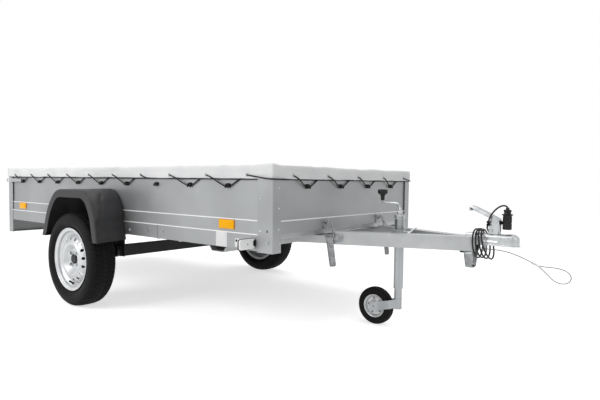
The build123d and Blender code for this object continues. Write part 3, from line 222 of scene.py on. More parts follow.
# white reflective film: fine square cells under a smooth face
FILM = surface(
    "reflective_film", ("#D8D9D5", "#EAEAE6"), (0.28, 0.34), (CELLS, 3, SQUARES), (NOISE, 40), 0.02,
    Coat_Weight=0.3)
# extruded soft PVC: black with a low even shine
LEAD_SHEATH = surface(
    "pvc_lead_sheath", ("#0A0A0A", "#131313"), (0.36, 0.46), (NOISE, 40), (NOISE, 2), 0.05,
    Specular_IOR_Level=0.3)
# stranded wire under a clear sleeve: mid grey with small lays, 2.2 mm apart
WIRE_ROPE = surface(
    "coated_wire_rope", ("#626466", "#848688"), (0.45, 0.55), (CELLS, 2.2), (CELLS, 2.2), 0.25, (0.1, 0.7))
# woven elastic: black, dull, finely ribbed every 2.4 mm
ELASTIC = surface(
    "braided_elastic", ("#0A0A0B", "#1A1A1D"), (0.62, 0.72), (CELLS, 2.4), (CELLS, 2.4), 0.25, (0.1, 0.7),
    Specular_IOR_Level=0.2)
# blank vinyl: plain pale, smooth
LABEL = surface("blank_vinyl_label", ("#DFE0E0", "#E8E8E8"), (0.38, 0.44), (NOISE, 60), (NOISE, 30), 0.02)


# ---- skins -------------------------------------------------------------------------------------
def unit(vectors):
    """The same directions, each with a length of one."""
    return vectors / np.linalg.norm(vectors, axis=-1, keepdims=True)


def circle(angle):
    """(cos a, sin a) for each angle."""
    return np.stack([np.cos(angle), np.sin(angle)], -1)


def full_turn(count):
    """That many angles, evenly round a circle."""
    return np.arange(count) * 2 * pi / count


def grid_points(x, y, z):
    """Points whose three places are each given for all, a row, a column or one of a grid."""
    return np.stack(np.broadcast_arrays(x, y, z), -1)


def grid_faces(rows, columns, closed_rows=False, closed_columns=False):
    """Four-cornered faces between each point of a grid and the next of its row and column."""
    i = np.arange(rows if closed_rows else rows - 1)[:, None]
    j = np.arange(columns if closed_columns else columns - 1)[None, :]
    after_i, after_j = (i + 1) % rows, (j + 1) % columns
    corners = [i * columns + j, i * columns + after_j, after_i * columns + after_j, after_i * columns + j]
    return np.stack(np.broadcast_arrays(*corners), -1).reshape(-1, 4)


def skin(points, closed_rows=False, closed_columns=False):
    """A grid of points and its faces."""
    rows, columns = points.shape[:2]
    return points.reshape(-1, 3), grid_faces(rows, columns, closed_rows, closed_columns)


def flipped(faces):
    """The faces seen from the other side; a three-cornered one has -1 for its fourth corner."""
    return np.where(faces[:, 3:] < 0, faces[:, [1, 0, 2, 3]], faces[:, ::-1])


def outward(shape):
    """The same closed skin with its faces turned so that the volume they enclose is positive."""
    points, faces = shape
    last = np.where(faces[:, 3:] < 0, faces[:, 2:3], faces[:, 3:])
    a, b, c, d = points[faces[:, 0]], points[faces[:, 1]], points[faces[:, 2]], points[last[:, 0]]
    volume = (np.cross(a, b) * c).sum() + (np.cross(a, c) * d).sum()
    return shape if volume > 0 else (points, flipped(faces))


def loft(loops):
    """A closed skin over stacked loops: faces between neighbours, a fan to the middle of each end."""
    rows, columns = loops.shape[:2]
    points = np.concatenate([loops.reshape(-1, 3), loops[:1].mean(1), loops[-1:].mean(1)])
    j = np.arange(columns)
    after, none = (j + 1) % columns, np.full(columns, -1)
    start = np.stack([after, j, np.full(columns, rows * columns), none], -1)
    base = (rows - 1) * columns
    end = np.stack([base + j, base + after, np.full(columns, rows * columns + 1), none], -1)
    return outward((points, np.concatenate([grid_faces(rows, columns, False, True), start, end])))


def joined(shapes):
    """Several skins as one: points stacked, face numbers shifted."""
    points, faces, shift = [], [], 0
    for p, f in shapes:
        points.append(p)
        faces.append(np.where(f < 0, -1, f + shift))
        shift += len(p)
    return np.concatenate(points), np.concatenate(faces)


def mirrored(shape):
    """The same skin on the other side of the centre plane, still facing outwards."""
    points, faces = shape
    return points * (1, -1, 1), flipped(faces)


def pair(*shapes):
    """The skins and their mirror images."""
    return [*shapes, *map(mirrored, shapes)]


def rings(profile, centre, axis, count):
    """Points at centre + height axis + radius (cos a, sin a), for a (radius, height) profile in mm."""
    radius, height = np.array(profile, float).T[..., None, None] / 1000
    axis = unit(np.asarray(axis, float))
    side = unit(np.cross(axis, Z if abs(axis[2]) < 0.9 else X))
    around = circle(full_turn(count)) @ np.stack([side, np.cross(axis, side)])
    return centre + height * axis + radius * around


def turned(profile, centre, axis, count=32):
    """A solid whose profile goes round an axis; both ends close in the middle."""
    return loft(rings(profile, centre, axis, count))


def hoop(profile, centre, axis, count=64):
    """A ring whose closed section goes round an axis."""
    return outward(skin(rings(profile, centre, axis, count), True, True))


def oval(radius, wide, high, sides=6):
    """A ring's section, that far from its axis: (radius + wide cos a, high sin a)."""
    return [(radius + wide * cos(a), high * sin(a)) for a in full_turn(sides)]


def rounded_rectangle(half_width, half_height, corner, steps=5):
    """A rectangle's outline with a quarter circle at each corner."""
    angle = np.linspace(0, pi / 2, steps)[None, :] + np.arange(4)[:, None] * pi / 2
    signs = np.array([(1, 1), (-1, 1), (-1, -1), (1, -1)], float)
    middle = signs * (half_width - corner, half_height - corner)
    return (middle[:, None] + corner * circle(angle)).reshape(-1, 2)


def polygon(sides, radius, turn=0.0, corner=0.0, steps=4):
    """A regular polygon's outline, its corners rounded by that radius."""
    out = turn + full_turn(sides)
    spread = np.linspace(-pi / sides, pi / sides, steps)
    middle = (radius - corner) * circle(out)
    return (middle[:, None] + corner * circle(out[:, None] + spread)).reshape(-1, 2)


def beside(step):
    """Unit directions to the right of flat steps."""
    return unit(np.stack([step[:, 1], -step[:, 0]], -1))


def raised(outline, layers, origin, across, up):
    """An outline in layers, each drawn in along its normals and lifted along across x up; both in mm."""
    normal = beside(np.roll(outline, -1, 0) - np.roll(outline, 1, 0))
    inset, height = np.array(layers, float).T[..., None, None] / 1000
    flat = outline / 1000 - inset * normal
    return loft(origin + flat[..., :1] * across + flat[..., 1:] * up + height * np.cross(across, up))


def tile(size, layers, origin, across, up):
    """A rounded rectangle in layers; its half sizes, its corner and the layers are in mm."""
    return raised(rounded_rectangle(*size), layers, origin, across, up)


def eased(points, share=0.42, steps=6):
    """A path whose corners are turned by parabolas, each over a share of its two runs."""
    points = np.asarray(points, float)
    before, at, after = points[:-2], points[1:-1], points[2:]
    shorter = np.minimum(np.linalg.norm(at - before, axis=1), np.linalg.norm(after - at, axis=1))[:, None]
    back, ahead = at + unit(before - at) * shorter * share, at + unit(after - at) * shorter * share
    t = np.linspace(0, 1, steps)[None, :, None]
    bends = (1 - t) ** 2 * back[:, None] + 2 * t * (1 - t) * at[:, None] + t ** 2 * ahead[:, None]
    return np.concatenate([points[:1], bends.reshape(-1, 3), points[-1:]])


def finer(line, count):
    """A line with more points, as many between each two of its own."""
    spot = np.linspace(0, len(line) - 1, count)
    return np.stack([np.interp(spot, np.arange(len(line)), values) for values in line.T], -1)


def tube(points, radius, across, sides=12):
    """A circle carried along a path, square to it; across is a direction the path never takes."""
    points = np.asarray(points, float)
    ahead = unit(np.gradient(points, axis=0))
    side = unit(np.cross(ahead, across))
    radius = np.broadcast_to(np.asarray(radius, float), (len(points),))[:, None, None]
    around = circle(full_turn(sides)) @ np.stack([side, np.cross(ahead, side)], 1)
    loops = points[:, None] + radius * around
    first = points[:1, None] + 0.7 * radius[:1] * around[:1] - 0.4 * radius[:1] * ahead[:1, None]
    last = points[-1:, None] + 0.7 * radius[-1:] * around[-1:] + 0.4 * radius[-1:] * ahead[-1:, None]
    return loft(np.concatenate([first, loops, last]))


def riding(name, data, material, body):
    """An object at the origin that moves with a body; its one slot holds its material."""
    data.materials.append(material)
    made = linked(name, data)
    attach(made, body)
    return made


def piece(name, shapes, material, body, crease=35.0):
    """A mesh object made of skins; an edge sharper than the crease, in degrees, isn't smoothed."""
    points, faces = joined(shapes if isinstance(shapes, list) else [shapes])
    mesh = bpy.data.meshes.new(name)
    mesh.from_pydata(points.tolist(), [], [f[:3] if f[3] < 0 else f for f in faces.tolist()])
    mesh.polygons.foreach_set("use_smooth", np.ones(len(mesh.polygons), bool))
    mesh.set_sharp_from_angle(angle=radians(crease))
    return riding(name, mesh, material, body)


def welded(made, towards, distance=1e-5):
    """Makes points in the same place one, and turns an open sheet's broad side towards a direction."""
    work = bmesh.new()
    work.from_mesh(made.data)
    bmesh.ops.remove_doubles(work, verts=work.verts, dist=distance)
    bmesh.ops.dissolve_degenerate(work, edges=work.edges, dist=distance)
    bmesh.ops.recalc_face_normals(work, faces=work.faces)
    if sum(f.normal.dot(towards) * f.calc_area() for f in work.faces) < 0:
        bmesh.ops.reverse_faces(work, faces=work.faces)
    work.to_mesh(made.data)
    work.free()


def thickened(made, thickness, offset=-1.0):
    """Gives a sheet its real thickness."""
    solid = made.modifiers.new("thickness", "SOLIDIFY")
    solid.thickness, solid.offset, solid.use_even_offset = thickness, offset, True


# ---- cords -------------------------------------------------------------------------------------
def cord_line(name, points, diameter, material, body):
    """A round cord on a NURBS line that takes the points as its control points."""
    curve = bpy.data.curves.new(name, "CURVE")
    curve.dimensions = "3D"
    line = curve.splines.new("NURBS")
    line.points.add(len(points) - 1)
    line.points.foreach_set("co", np.c_[np.asarray(points, float), np.ones(len(points))].ravel())
    line.order_u = 3
    line.use_endpoint_u = True
    line.resolution_u = 8
    curve.bevel_depth, curve.bevel_resolution, curve.use_fill_caps = diameter / 2, 4, True
    return riding(name, curve, material, body)


def at_nose(forward, left, up):
    """A place from the coupling's tip, the centre plane and the top of the arms."""
    return TIP + forward, left, ARM_HIGH + up


# The lead leaves its gland under the nose, is wound round it and arches up to the parked plug.
LEAD_START = [(-0.252, 0.034, -0.076), (-0.225, 0.042, -0.074)]
PLUG = (-0.055, -0.01)
COIL_STEPS = 51
LEAD_END = [
    (-0.143, 0.002, 0.042), (-0.14, -0.013, 0.047), (-0.135, -0.024, 0.056), (-0.13, -0.03, 0.07),
    (-0.126, -0.031, 0.086), (-0.12, -0.03, 0.102), (-0.111, -0.027, 0.117), (-0.1, -0.023, 0.1305),
    (-0.087, -0.0185, 0.1415), (-0.073, -0.014, 0.1475), (-0.061, -0.011, 0.1455), (*PLUG, 0.1375),
    (*PLUG, 0.129)]


def lead_points():
    """Turns round the nose: left = w sin a, up = m - h cos a, each turn a little further forward."""
    turns = []
    for i in range(COIL_STEPS + 1):
        a, swing = radians(70 + 30 * i), 1 + 0.03 * sin(1.4 * i)
        slant = 0.04 * (1 + cos(a)) / 2 * i / COIL_STEPS
        turns.append((
            -0.196 + 0.00086 * i + slant, 0.0615 * sin(a) * swing, -0.028 - 0.0675 * cos(a) * swing))
    return [at_nose(*p) for p in LEAD_START + turns + LEAD_END]


WIRE_POINTS = [
    at_nose(*p)
    for p in (
        (-0.152, 0.01, -0.053), (-0.11, 0.021, -0.054), (-0.066, 0.034, -0.06), (-0.02, 0.04, -0.074),
        (0.03, 0.038, -0.094), (0.074, 0.034, -0.111), (0.118, 0.031, -0.1095), (0.152, 0.03, -0.111),
        (0.18, 0.029, -0.12), (0.1955, 0.028, -0.138), (0.1925, 0.028, -0.159), (0.174, 0.028, -0.1725),
        (0.15, 0.028, -0.1735), (0.126, 0.029, -0.164), (0.104, 0.03, -0.142), (0.078, 0.032, -0.119))]
LEAD_LENGTH, LEAD_DIAMETER = 1.954, 0.0075
WIRE_LENGTH, WIRE_DIAMETER = 0.526, 0.004

lead = cord_line("lead", lead_points(), LEAD_DIAMETER, LEAD_SHEATH, "drawbar")
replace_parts(lead, "lead_cable")
wire = cord_line("breakaway_wire", WIRE_POINTS, WIRE_DIAMETER, WIRE_ROPE, "drawbar")
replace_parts(wire, "safety_wire")


def plug_skin():
    """The plug: ribbed grip, flange with a bayonet ring and a tapered cable end."""
    lathe = [
        (16, 42), (18.4, 42.8), (19, 48), (19, 68), (17.2, 70.5), (17.2, 73.5), (18, 76), (18, 100),
        (18.8, 104), (23.2, 105.5), (23.2, 109.5), (15, 111.5), (13.5, 118), (16, 120), (16, 127.5),
        (14.8, 129), (8, 130), (6.6, 138), (4.6, 139.5)]
    ribs = []
    for a in full_turn(14):
        foot = at_nose(PLUG[0] + 0.0172 * cos(a), PLUG[1] + 0.0172 * sin(a), 0.085)
        ribs.append(tile((1.2, 13, 1, 3), [(0, 0), (0, 1.2), (0.6, 1.8)], foot, (-sin(a), cos(a), 0), Z))
    return [turned(lathe, at_nose(*PLUG, 0), Z, 40)] + ribs


plug = piece("round_plug", plug_skin(), PLASTIC, "drawbar")
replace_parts(plug, "lead_plug")
ferrule = piece(
    "wire_ferrule_sleeve",
    turned(
        [(3, 0), (5, 1.5), (5.2, 6), (4.6, 12), (5.2, 18), (4.6, 24), (5.2, 30), (5.2, 36.5), (3, 39.5)],
        at_nose(0.0375, 0.0375, -0.0983), (0.037, -0.0045, -0.014), 20), ZINC, "drawbar")
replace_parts(ferrule, "wire_ferrule")
crimp_path = [at_nose(*p) for p in ((0.06, 0.035, -0.107), (0.07, 0.0335, -0.113), (0.08, 0.0318, -0.1215))]
crimp = piece("wire_crimp", tube(eased(crimp_path), 0.0034, Z), ZINC, "drawbar")
sleeve_path = [
    at_nose(*p) for p in ((-0.266, 0.032, -0.074), (-0.252, 0.034, -0.076), (-0.232, 0.0395, -0.0752))]
relief_sleeve = piece(
    "lead_strain_relief", tube(eased(sleeve_path), np.linspace(0.0072, 0.0046, 8), Z), RUBBER, "drawbar")
tie = piece("lead_tie", [
    hoop(oval(5.2, 2.2, 4, 8), at_nose(-0.131, -0.029, 0.066 + dz), (0.3, -0.3, 1.0), 24)
    for dz in (-0.006, 0.006)], RUBBER, "drawbar")


# ---- finishes of the CAD nodes -----------------------------------------------------------------
NODE_FINISH = {
    SIDE_STEEL: "side_wall_right side_wall_left front_wall light_board tailgate",
    POST_STEEL: "front_posts rear_posts",
    TUBE_STEEL: ("drawbar_arm_right drawbar_arm_left drawbar_cross_member jockey_clamp floor_bearers "
                 "pivot_brackets"),
    DRAWN_ZINC: "jockey_outer_tube jockey_inner_tube jockey_fork",
    ZINC: ("coupling_body coupling_handle tilt_latches clamp_handle tilt_hooks tailgate_hinges "
           "tailgate_latches wire_clamp wire_ferrule"),
    BLACK_PAINT: "axle_beam axle_arms hub_right hub_left",
    PLASTIC: "plug_holder lead_plug lead_gland jockey_crank",
    FENDER: "fender_right fender_left",
    TYRE: "tyre_right tyre_left jockey_tyre",
    SILVER: "rim_right rim_left jockey_hub",
    PLYWOOD: "floor_panel", CLOTH: "tarp_cover tarp_rear_flap", AMBER: "side_reflectors",
    RED: "tail_lamps triangle_reflectors", CLEAR_LENS: "front_markers", FILM: "number_plate",
    LEAD_SHEATH: "lead_cable", WIRE_ROPE: "safety_wire",
}
for material, names in NODE_FINISH.items():
    for name in names.split():
        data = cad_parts[name].data
        if not data.materials:
            data.materials.append(material)
        for i in range(len(data.materials)):
            data.materials[i] = material


# ---- cover -------------------------------------------------------------------------------------
SIDE_EYELETS = FRONT + np.array([-.152, -.429, -.716, -.971, -1.251, -1.521, -1.794, -2.059, -2.313, -2.583])
SIDE_HOOKS = FRONT + np.array([-.283, -.558, -.836, -1.115, -1.386, -1.66, -1.931, -2.193, -2.458])
FRONT_EYELETS = np.array([-.522, -.248, .0325, .312, .5635])
FRONT_HOOKS = np.array([-.404, -.121, .148, .413])
EYELET_Z, HOOK_Z = 0.764, 0.714
CLOTH_SIDE, CLOTH_FRONT, CLOTH_REAR = 0.659, 0.944, -1.7614
CLOTH_TOP, SKIRT_DEPTH, CLOTH_THICKNESS = COVER_TOP - 0.001, 0.0625, 0.0012
EDGE = 0.01                 # radius of the cover's folded edge
BAR_PITCH = 0.675           # between the cross bars that the cover sags between


def waves(points, seed, length):
    """A smooth random field from -1 to 1: seven sines along seeded directions, about one length apart."""
    count = 7
    draw = np.random.default_rng(seed)
    direction = 2 * pi / length * unit(draw.normal(size=(count, 3)))
    direction *= draw.uniform(0.6, 1.5, count)[:, None]
    phase = draw.uniform(0, 2 * pi, count)
    return np.sin(points @ direction.T + phase).sum(-1) / count ** 0.5 / 1.6


def closeness(place, marks, width):
    """One at the nearest mark, falling off as a bell of that width."""
    gap = np.abs(place[..., None] - marks).min(-1)
    return np.exp(-(gap / width) ** 2)


def cloth_height(points):
    """How the cover's top lies: a slack sag between cross bars, a puckered edge, a peak at a corner."""
    x, y = points[..., 0], points[..., 1]
    inside = np.clip(1 - (np.abs(y) / CLOTH_SIDE) ** 2, 0, 1)
    length = np.clip((CLOTH_FRONT - x) / 0.25, 0, 1) * np.clip((x - CLOTH_REAR) / 0.25, 0, 1)
    bars = 0.5 - 0.5 * np.cos(2 * pi * (x - REAR) / BAR_PITCH)
    sag = -inside * np.clip(length, 0, 1) * (0.004 + 0.012 * bars)
    pucker = 0.0016 * waves(points * (1, 1, 0), 3, 0.16) + 0.0012 * waves(points * (1, 1, 0), 4, 0.06)
    peaks = 0
    for side, size in ((-1, 0.01), (1, 0.004)):
        peaks += size * np.exp(-np.hypot(x - CLOTH_FRONT + 0.006, y - side * CLOTH_SIDE) / 0.045)
    pull = waves(points * (0.5, 1.6, 0), 8, 0.34) * 0.004 * inside
    return sag + pucker + peaks + pull


def cloth_push(points, along, marks, hang):
    """How far the skirt stands off its wall: snug at the eyelets, full between them, softly folded."""
    near = closeness(along, marks, 0.05)
    full = 0.003 * (1 - near) * np.sin(pi * np.clip(hang * 1.15, 0, 1)) - 0.0012 * near * hang
    folds = 0.0016 * waves(points * (1, 1, 0.25), 11, 0.09) + 0.0008 * waves(points, 12, 0.035)
    return full + folds * hang ** 0.5


def cover_skin():
    """A flat top whose border folds down over a quarter circle into a skirt on three sides."""
    xs = np.linspace(CLOTH_REAR, CLOTH_FRONT - EDGE, 230)
    ys = np.linspace(-CLOTH_SIDE + EDGE, CLOTH_SIDE - EDGE, 112)
    top = grid_points(xs[:, None], ys, CLOTH_TOP)
    fan = np.linspace(0, pi / 2, 7)
    right = np.stack([xs, np.full_like(xs, ys[0])], -1)
    front = np.stack([np.full_like(ys, xs[-1]), ys], -1)
    left = np.stack([xs[::-1], np.full_like(xs, ys[-1])], -1)
    border = np.concatenate([right, np.repeat(right[-1:], 7, 0), front, np.repeat(left[:1], 7, 0), left])
    away = np.concatenate([
        np.tile([(0.0, -1.0)], (len(xs), 1)), circle(fan - pi / 2), np.tile([(1.0, 0.0)], (len(ys), 1)),
        circle(fan), np.tile([(0.0, 1.0)], (len(xs), 1))])
    bend = np.linspace(0, pi / 2, 5)
    drop = np.linspace(0, CLOTH_TOP - EDGE - HEM, 12)[1:]
    off = np.concatenate([EDGE * np.sin(bend), np.full(len(drop), EDGE)])
    down = np.concatenate([EDGE * (1 - np.cos(bend)), EDGE + drop])
    skirt = np.zeros((len(off), len(border), 3))
    skirt[..., :2] = border[None] + off[:, None, None] * away[None]
    skirt[..., 2] = CLOTH_TOP - down[:, None]
    hang = np.clip(down / (COVER_TOP - HEM), 0, 1)[:, None] * np.ones(len(border))[None]
    sideways = np.abs(away[:, 1]) > 0.9
    along = np.where(sideways[None], skirt[..., 0], skirt[..., 1])
    push = [cloth_push(skirt, along, marks, hang) for marks in (SIDE_EYELETS, FRONT_EYELETS)]
    push = np.where(sideways[None], *push)
    seam = 0.0009 * np.exp(-((skirt[..., 2] - (HEM + 0.029)) / 0.002) ** 2)
    step = 0.0006 * (skirt[..., 2] < HEM + 0.027)
    skirt[..., :2] += (push - seam + step)[..., None] * away[None]
    wave = 0.0016 * waves(skirt * (1, 1, 0), 21, 0.13) * hang
    height = cloth_height(np.concatenate([border, np.zeros((len(border), 1))], -1))[None]
    skirt[..., 2] += height * (1 - hang) + wave
    top[..., 2] += cloth_height(top)
    return [skin(top), skin(skirt)]


cover = piece("cover", cover_skin(), CLOTH, "bed", 70.0)
welded(cover, (0, 0, 1))
thickened(cover, CLOTH_THICKNESS)
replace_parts(cover, "tarp_cover")


def flap_skin():
    """The skirt behind, wavy at its free hem."""
    ys = np.linspace(-CLOTH_SIDE, CLOTH_SIDE, 130)
    zs = np.linspace(CLOTH_TOP, HEM, 14)
    points = grid_points(REAR - 0.0026, ys, zs[:, None])
    hang = ((COVER_TOP - zs) / (COVER_TOP - HEM))[:, None]
    points[..., 0] -= hang * (0.0007 + 0.0008 * waves(points * (0, 1, 0.2), 31, 0.1))
    points[..., 2] += 0.0012 * waves(points * (0, 1, 0), 33, 0.12) * hang
    return [skin(points)]


flap = piece("cover_rear_flap", flap_skin(), CLOTH, "bed", 70.0)
thickened(flap, CLOTH_THICKNESS, 0.0)
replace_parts(flap, "tarp_rear_flap")


def eyelet(centre, out):
    """A pressed metal ring through the hem."""
    return hoop(oval(6.5, 2.6, 1.3), centre, out, 16)


def rope_hook(centre, out, along):
    """A hook moulded on a plate: a ridge stands out over the cord and its lip turns down."""
    centre, out, along = (np.asarray(v, float) for v in (centre, out, along))
    plate = tile((16.5, 11, 7, 4), [(0, 0), (0, 2.2), (1.4, 3.4)], centre, along, Z)
    arms = []
    profile = np.array([(0.001, 0.004), (0.0105, 0.004), (0.0135, -0.001), (0.013, -0.0105)])
    for shift in (-0.0085, 0.0085):
        path = centre + shift * along + profile @ np.array([out, Z])
        arms.append(tube(eased(path, 0.45, 4), 0.0036, along, 8))
    return joined([plate] + arms)


WALL_FACE, NOSE_FACE, SUNK = 0.6492, 0.9342, 0.0012       # the lacing's walls; the hooks stand deeper
side_marks = [
    ((x, s * (CLOTH_SIDE + CLOTH_THICKNESS), EYELET_Z), (0, s, 0)) for x in SIDE_EYELETS for s in (-1, 1)]
front_marks = [((CLOTH_FRONT + CLOTH_THICKNESS, y, EYELET_Z), (1, 0, 0)) for y in FRONT_EYELETS]
eyelets = piece("cover_eyelets", [eyelet(c, o) for c, o in side_marks + front_marks], ZINC, "bed")
wall_hooks = [
    rope_hook((x, s * (WALL_FACE - SUNK), HOOK_Z), (0, s, 0), (-s, 0, 0))
    for x in SIDE_HOOKS for s in (-1, 1)]
wall_hooks += [rope_hook((NOSE_FACE - SUNK, y, HOOK_Z), (1, 0, 0), (0, 1, 0)) for y in FRONT_HOOKS]
piece("rope_hooks", wall_hooks, PLASTIC, "bed")


def lacing(marks, hooks_at, skipped, place):
    """The elastic's route along a wall: out of an eyelet, under a hook, up behind the hem, and on."""
    route = []
    for i, (mark, after) in enumerate(zip(marks, marks[1:])):
        step = 1 if after > mark else -1
        stops = [(mark - step * 0.004, 0.0, EYELET_Z - 0.004), (mark, 0.013, EYELET_Z)]
        if i in skipped:
            stops += [(mark + step * 0.035, 0.013, HEM + 0.004), (mark + step * 0.07, 0.008, HEM - 0.0045)]
        else:
            at = hooks_at[i]
            reach = abs(at - mark)
            stops += [
                (mark + step * 0.3 * reach, 0.013, HEM + 0.003),
                (mark + step * 0.62 * reach, 0.009, HOOK_Z + 0.012),
                (at - step * 0.012, 0.0055, HOOK_Z - 0.006), (at + step * 0.012, 0.0055, HOOK_Z - 0.006),
                (at + step * 0.045, 0.005, HOOK_Z + 0.012), (at + step * 0.08, 0.0035, HEM - 0.001)]
        route += stops + [(after - step * 0.03, 0.0032, HEM - 0.0005)]
    end = marks[-1]
    route += [(end - step * 0.008, 0.002, EYELET_Z - 0.006), (end, 0.01, EYELET_Z)]
    return [place(*stop) for stop in route]


def near_wall(x, off, z):
    """A place that far off the near wall."""
    return x, -WALL_FACE - off, z


def far_wall(x, off, z):
    """A place that far off the far wall."""
    return x, WALL_FACE + off, z


def nose_wall(y, off, z):
    """A place that far off the front wall."""
    return NOSE_FACE + off, y, z


FORWARD = SIDE_EYELETS[::-1]
near_route = lacing(FORWARD, SIDE_HOOKS[::-1], (6,), near_wall)
far_route = lacing(FORWARD, SIDE_HOOKS[::-1], (), far_wall)
nose_route = lacing(FRONT_EYELETS, FRONT_HOOKS, (), nose_wall)
corner_route = [
    (0.785, -0.656, EYELET_Z - 0.003), (0.787, -0.664, EYELET_Z), (0.83, -0.665, EYELET_Z - 0.006),
    (0.88, -0.665, HEM + 0.004), (0.925, -0.664, HEM - 0.001), (0.944, -0.663, HEM - 0.0015),
    (0.95, -0.655, HEM - 0.002), (0.95, -0.63, HEM - 0.002), (0.948, -0.59, HEM - 0.003),
    (0.94, -0.555, HEM - 0.001), (0.937, -0.53, HEM + 0.002), (0.939, -0.523, EYELET_Z - 0.004)]
far_corner_route = [
    (0.938, 0.56, EYELET_Z - 0.003), (0.9495, 0.5635, EYELET_Z), (0.95, 0.6, EYELET_Z - 0.008),
    (0.95, 0.648, HEM + 0.001), (0.945, 0.664, HEM - 0.001), (0.925, 0.665, HEM + 0.001),
    (0.83, 0.665, EYELET_Z - 0.006), (0.787, 0.664, EYELET_Z), (0.785, 0.656, EYELET_Z - 0.003)]
# a black cord just under the hem: partly the cord in the hem, partly painted shade for the shadow under the
# hem's edge
hem_low = HEM - 0.0035
hem_near = [
    (x, -0.656, hem_low + dz) for x, dz in zip(np.linspace(REAR + 0.03, FRONT - 0.092, 15), [0, -0.001] * 8)]
hem_far = [(x, -y, z) for x, y, z in hem_near]
hem_nose = [(0.941, y, hem_low) for y in np.linspace(-0.56, 0.64, 9)]
LACE, HEM_CORD_AND_SHADE = 0.006, 0.004
laces = [
    cord_line(name, route, thickness, ELASTIC, "bed")
    for name, route, thickness in (
        ("lacing_near", near_route, LACE), ("lacing_far", far_route, LACE), ("lacing_nose", nose_route, LACE),
        ("lacing_corner", corner_route, LACE), ("lacing_far_corner", far_corner_route, LACE),
        ("hem_cord_and_shade_near", hem_near, HEM_CORD_AND_SHADE), ("hem_cord_and_shade_far", hem_far, HEM_CORD_AND_SHADE),
        ("hem_cord_and_shade_nose", hem_nose, HEM_CORD_AND_SHADE))]

FLAP_EYELETS = np.linspace(-0.56, 0.56, 5)
flap_eyelets = piece(
    "flap_eyelets", [eyelet((REAR - 0.0045, y, EYELET_Z), (-1, 0, 0)) for y in FLAP_EYELETS], ZINC, "bed")
piece(
    "tail_rope_hooks",
    [rope_hook((REAR + 0.003, y, HOOK_Z - 0.006), (-1, 0, 0), (0, -1, 0)) for y in FLAP_EYELETS], PLASTIC,
    "tailgate")


def loop_line(y):
    """An elastic loop: out through the hem's eyelet, down under the gate's hook and back up."""
    down = [
        (0.001, 0.004, EYELET_Z), (0.0085, 0.006, EYELET_Z - 0.001), (0.007, 0.009, HEM),
        (0.004, 0.006, HOOK_Z - 0.008), (0.0035, -0.006, HOOK_Z - 0.008), (0.007, -0.009, HEM),
        (0.0085, -0.006, EYELET_Z - 0.001), (0.001, -0.004, EYELET_Z)]
    return [(REAR - off, y - aside, z) for off, aside, z in down]


flap_loops = piece(
    "flap_loops", [tube(eased(loop_line(y), 0.45, 5), 0.0022, X, 8) for y in FLAP_EYELETS], ELASTIC, "bed")
for soft in (flap, flap_eyelets, flap_loops):
    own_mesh(soft)


# ---- wheels ------------------------------------------------------------------------------------
def smooth_step(value, low, high):
    """Zero below low, one above high, eased between."""
    t = np.clip((value - low) / (high - low), 0, 1)
    return t * t * (3 - 2 * t)


def resampled(line, count, closed=True):
    """A line's points spaced evenly along it."""
    line = np.asarray(line, float)
    if closed:
        line = np.concatenate([line, line[:1]])
    reach = np.r_[0, np.cumsum(np.linalg.norm(np.diff(line, axis=0), axis=1))]
    at = np.linspace(0, reach[-1], count, endpoint=not closed)
    return np.stack([np.interp(at, reach, line[:, k]) for k in range(2)], -1)


def softened(line, turns):
    """A closed line with each corner cut twice, as often as asked, which rounds it."""
    line = np.asarray(line, float)
    for _ in range(turns):
        after = np.roll(line, -1, 0)
        line = np.stack([0.75 * line + 0.25 * after, 0.25 * line + 0.75 * after], 1).reshape(-1, 2)
    return line


TREAD_PITCHES, PITCH_STEPS = 62, 12
GROOVE, SLOT, SIPE, DEEPEST = 0.006, 0.0046, 0.0026, 0.0062       # depths in the tread


def tyre_skin(side):
    """radius(a, s) = the section's radius less the grooves: four round the tread, slots across it."""
    outside = [
        (165.5, 50.5), (171.5, 56.3), (184.5, 57), (210, 77.5), (222, 78.3), (242, 75.5), (256, 69),
        (265.5, 59), (270, 49), (272.2, 30), (272.7, 10)]
    inside = [(258, 5), (256, 48), (240, 64), (206, 67), (165.5, 40)]
    loop = [(r, -o) for r, o in outside] + outside[::-1] + inside[::-1] + [(r, -o) for r, o in inside]
    section = resampled(softened(loop, 2), 104) / 1000
    count = TREAD_PITCHES * PITCH_STEPS
    angle = full_turn(count)[None, :]
    r, off = section[:, :1], section[:, 1:]
    shoulder = smooth_step(r, 0.248, 0.256) * (np.abs(off) > 0.03)
    crown = smooth_step(r, 0.266, 0.27)
    groove = sum(np.exp(-((off - o) / 0.003) ** 4) for o in (-0.042, -0.015, 0.015, 0.042))
    slant = angle * TREAD_PITCHES / (2 * pi) + 9.0 * np.abs(off) * np.sign(off)
    wide = np.exp(-((slant % 1 - 0.5) / 0.13) ** 6)
    thin = np.exp(-(((slant + 0.5) % 1 - 0.5) / 0.07) ** 6)
    block = np.maximum(shoulder, crown)
    cut = GROOVE * groove * crown + SLOT * wide * block * smooth_step(np.abs(off), 0.017, 0.02)
    cut = cut + SIPE * thin * block
    radius = r - np.clip(cut, 0, DEEPEST)
    wall = (r > 0.186) & (r < 0.25) & (np.abs(off) > 0.055)
    lines = sum(np.exp(-((r - at) / 0.0016) ** 2) for at in (0.1925, 0.201, 0.229, 0.244))
    across = off + np.sign(off) * wall * 0.0008 * lines
    x, z = AXLE_X + radius * np.cos(angle), AXLE_Z + radius * np.sin(angle)
    return outward(skin(grid_points(x, side * WHEEL_Y + across, z), True, True))


def rounded_line(place, marks, heights, reach):
    """A broken line's height at each place, its corners rounded by a tent-shaped mean over a reach."""
    shifts = np.linspace(-0.9, 0.9, 9)
    weights = 1 - np.abs(shifts)
    lines = [np.interp(place + reach * shift, marks, heights) for shift in shifts]
    return sum(weight * line for weight, line in zip(weights, lines)) / weights.sum()


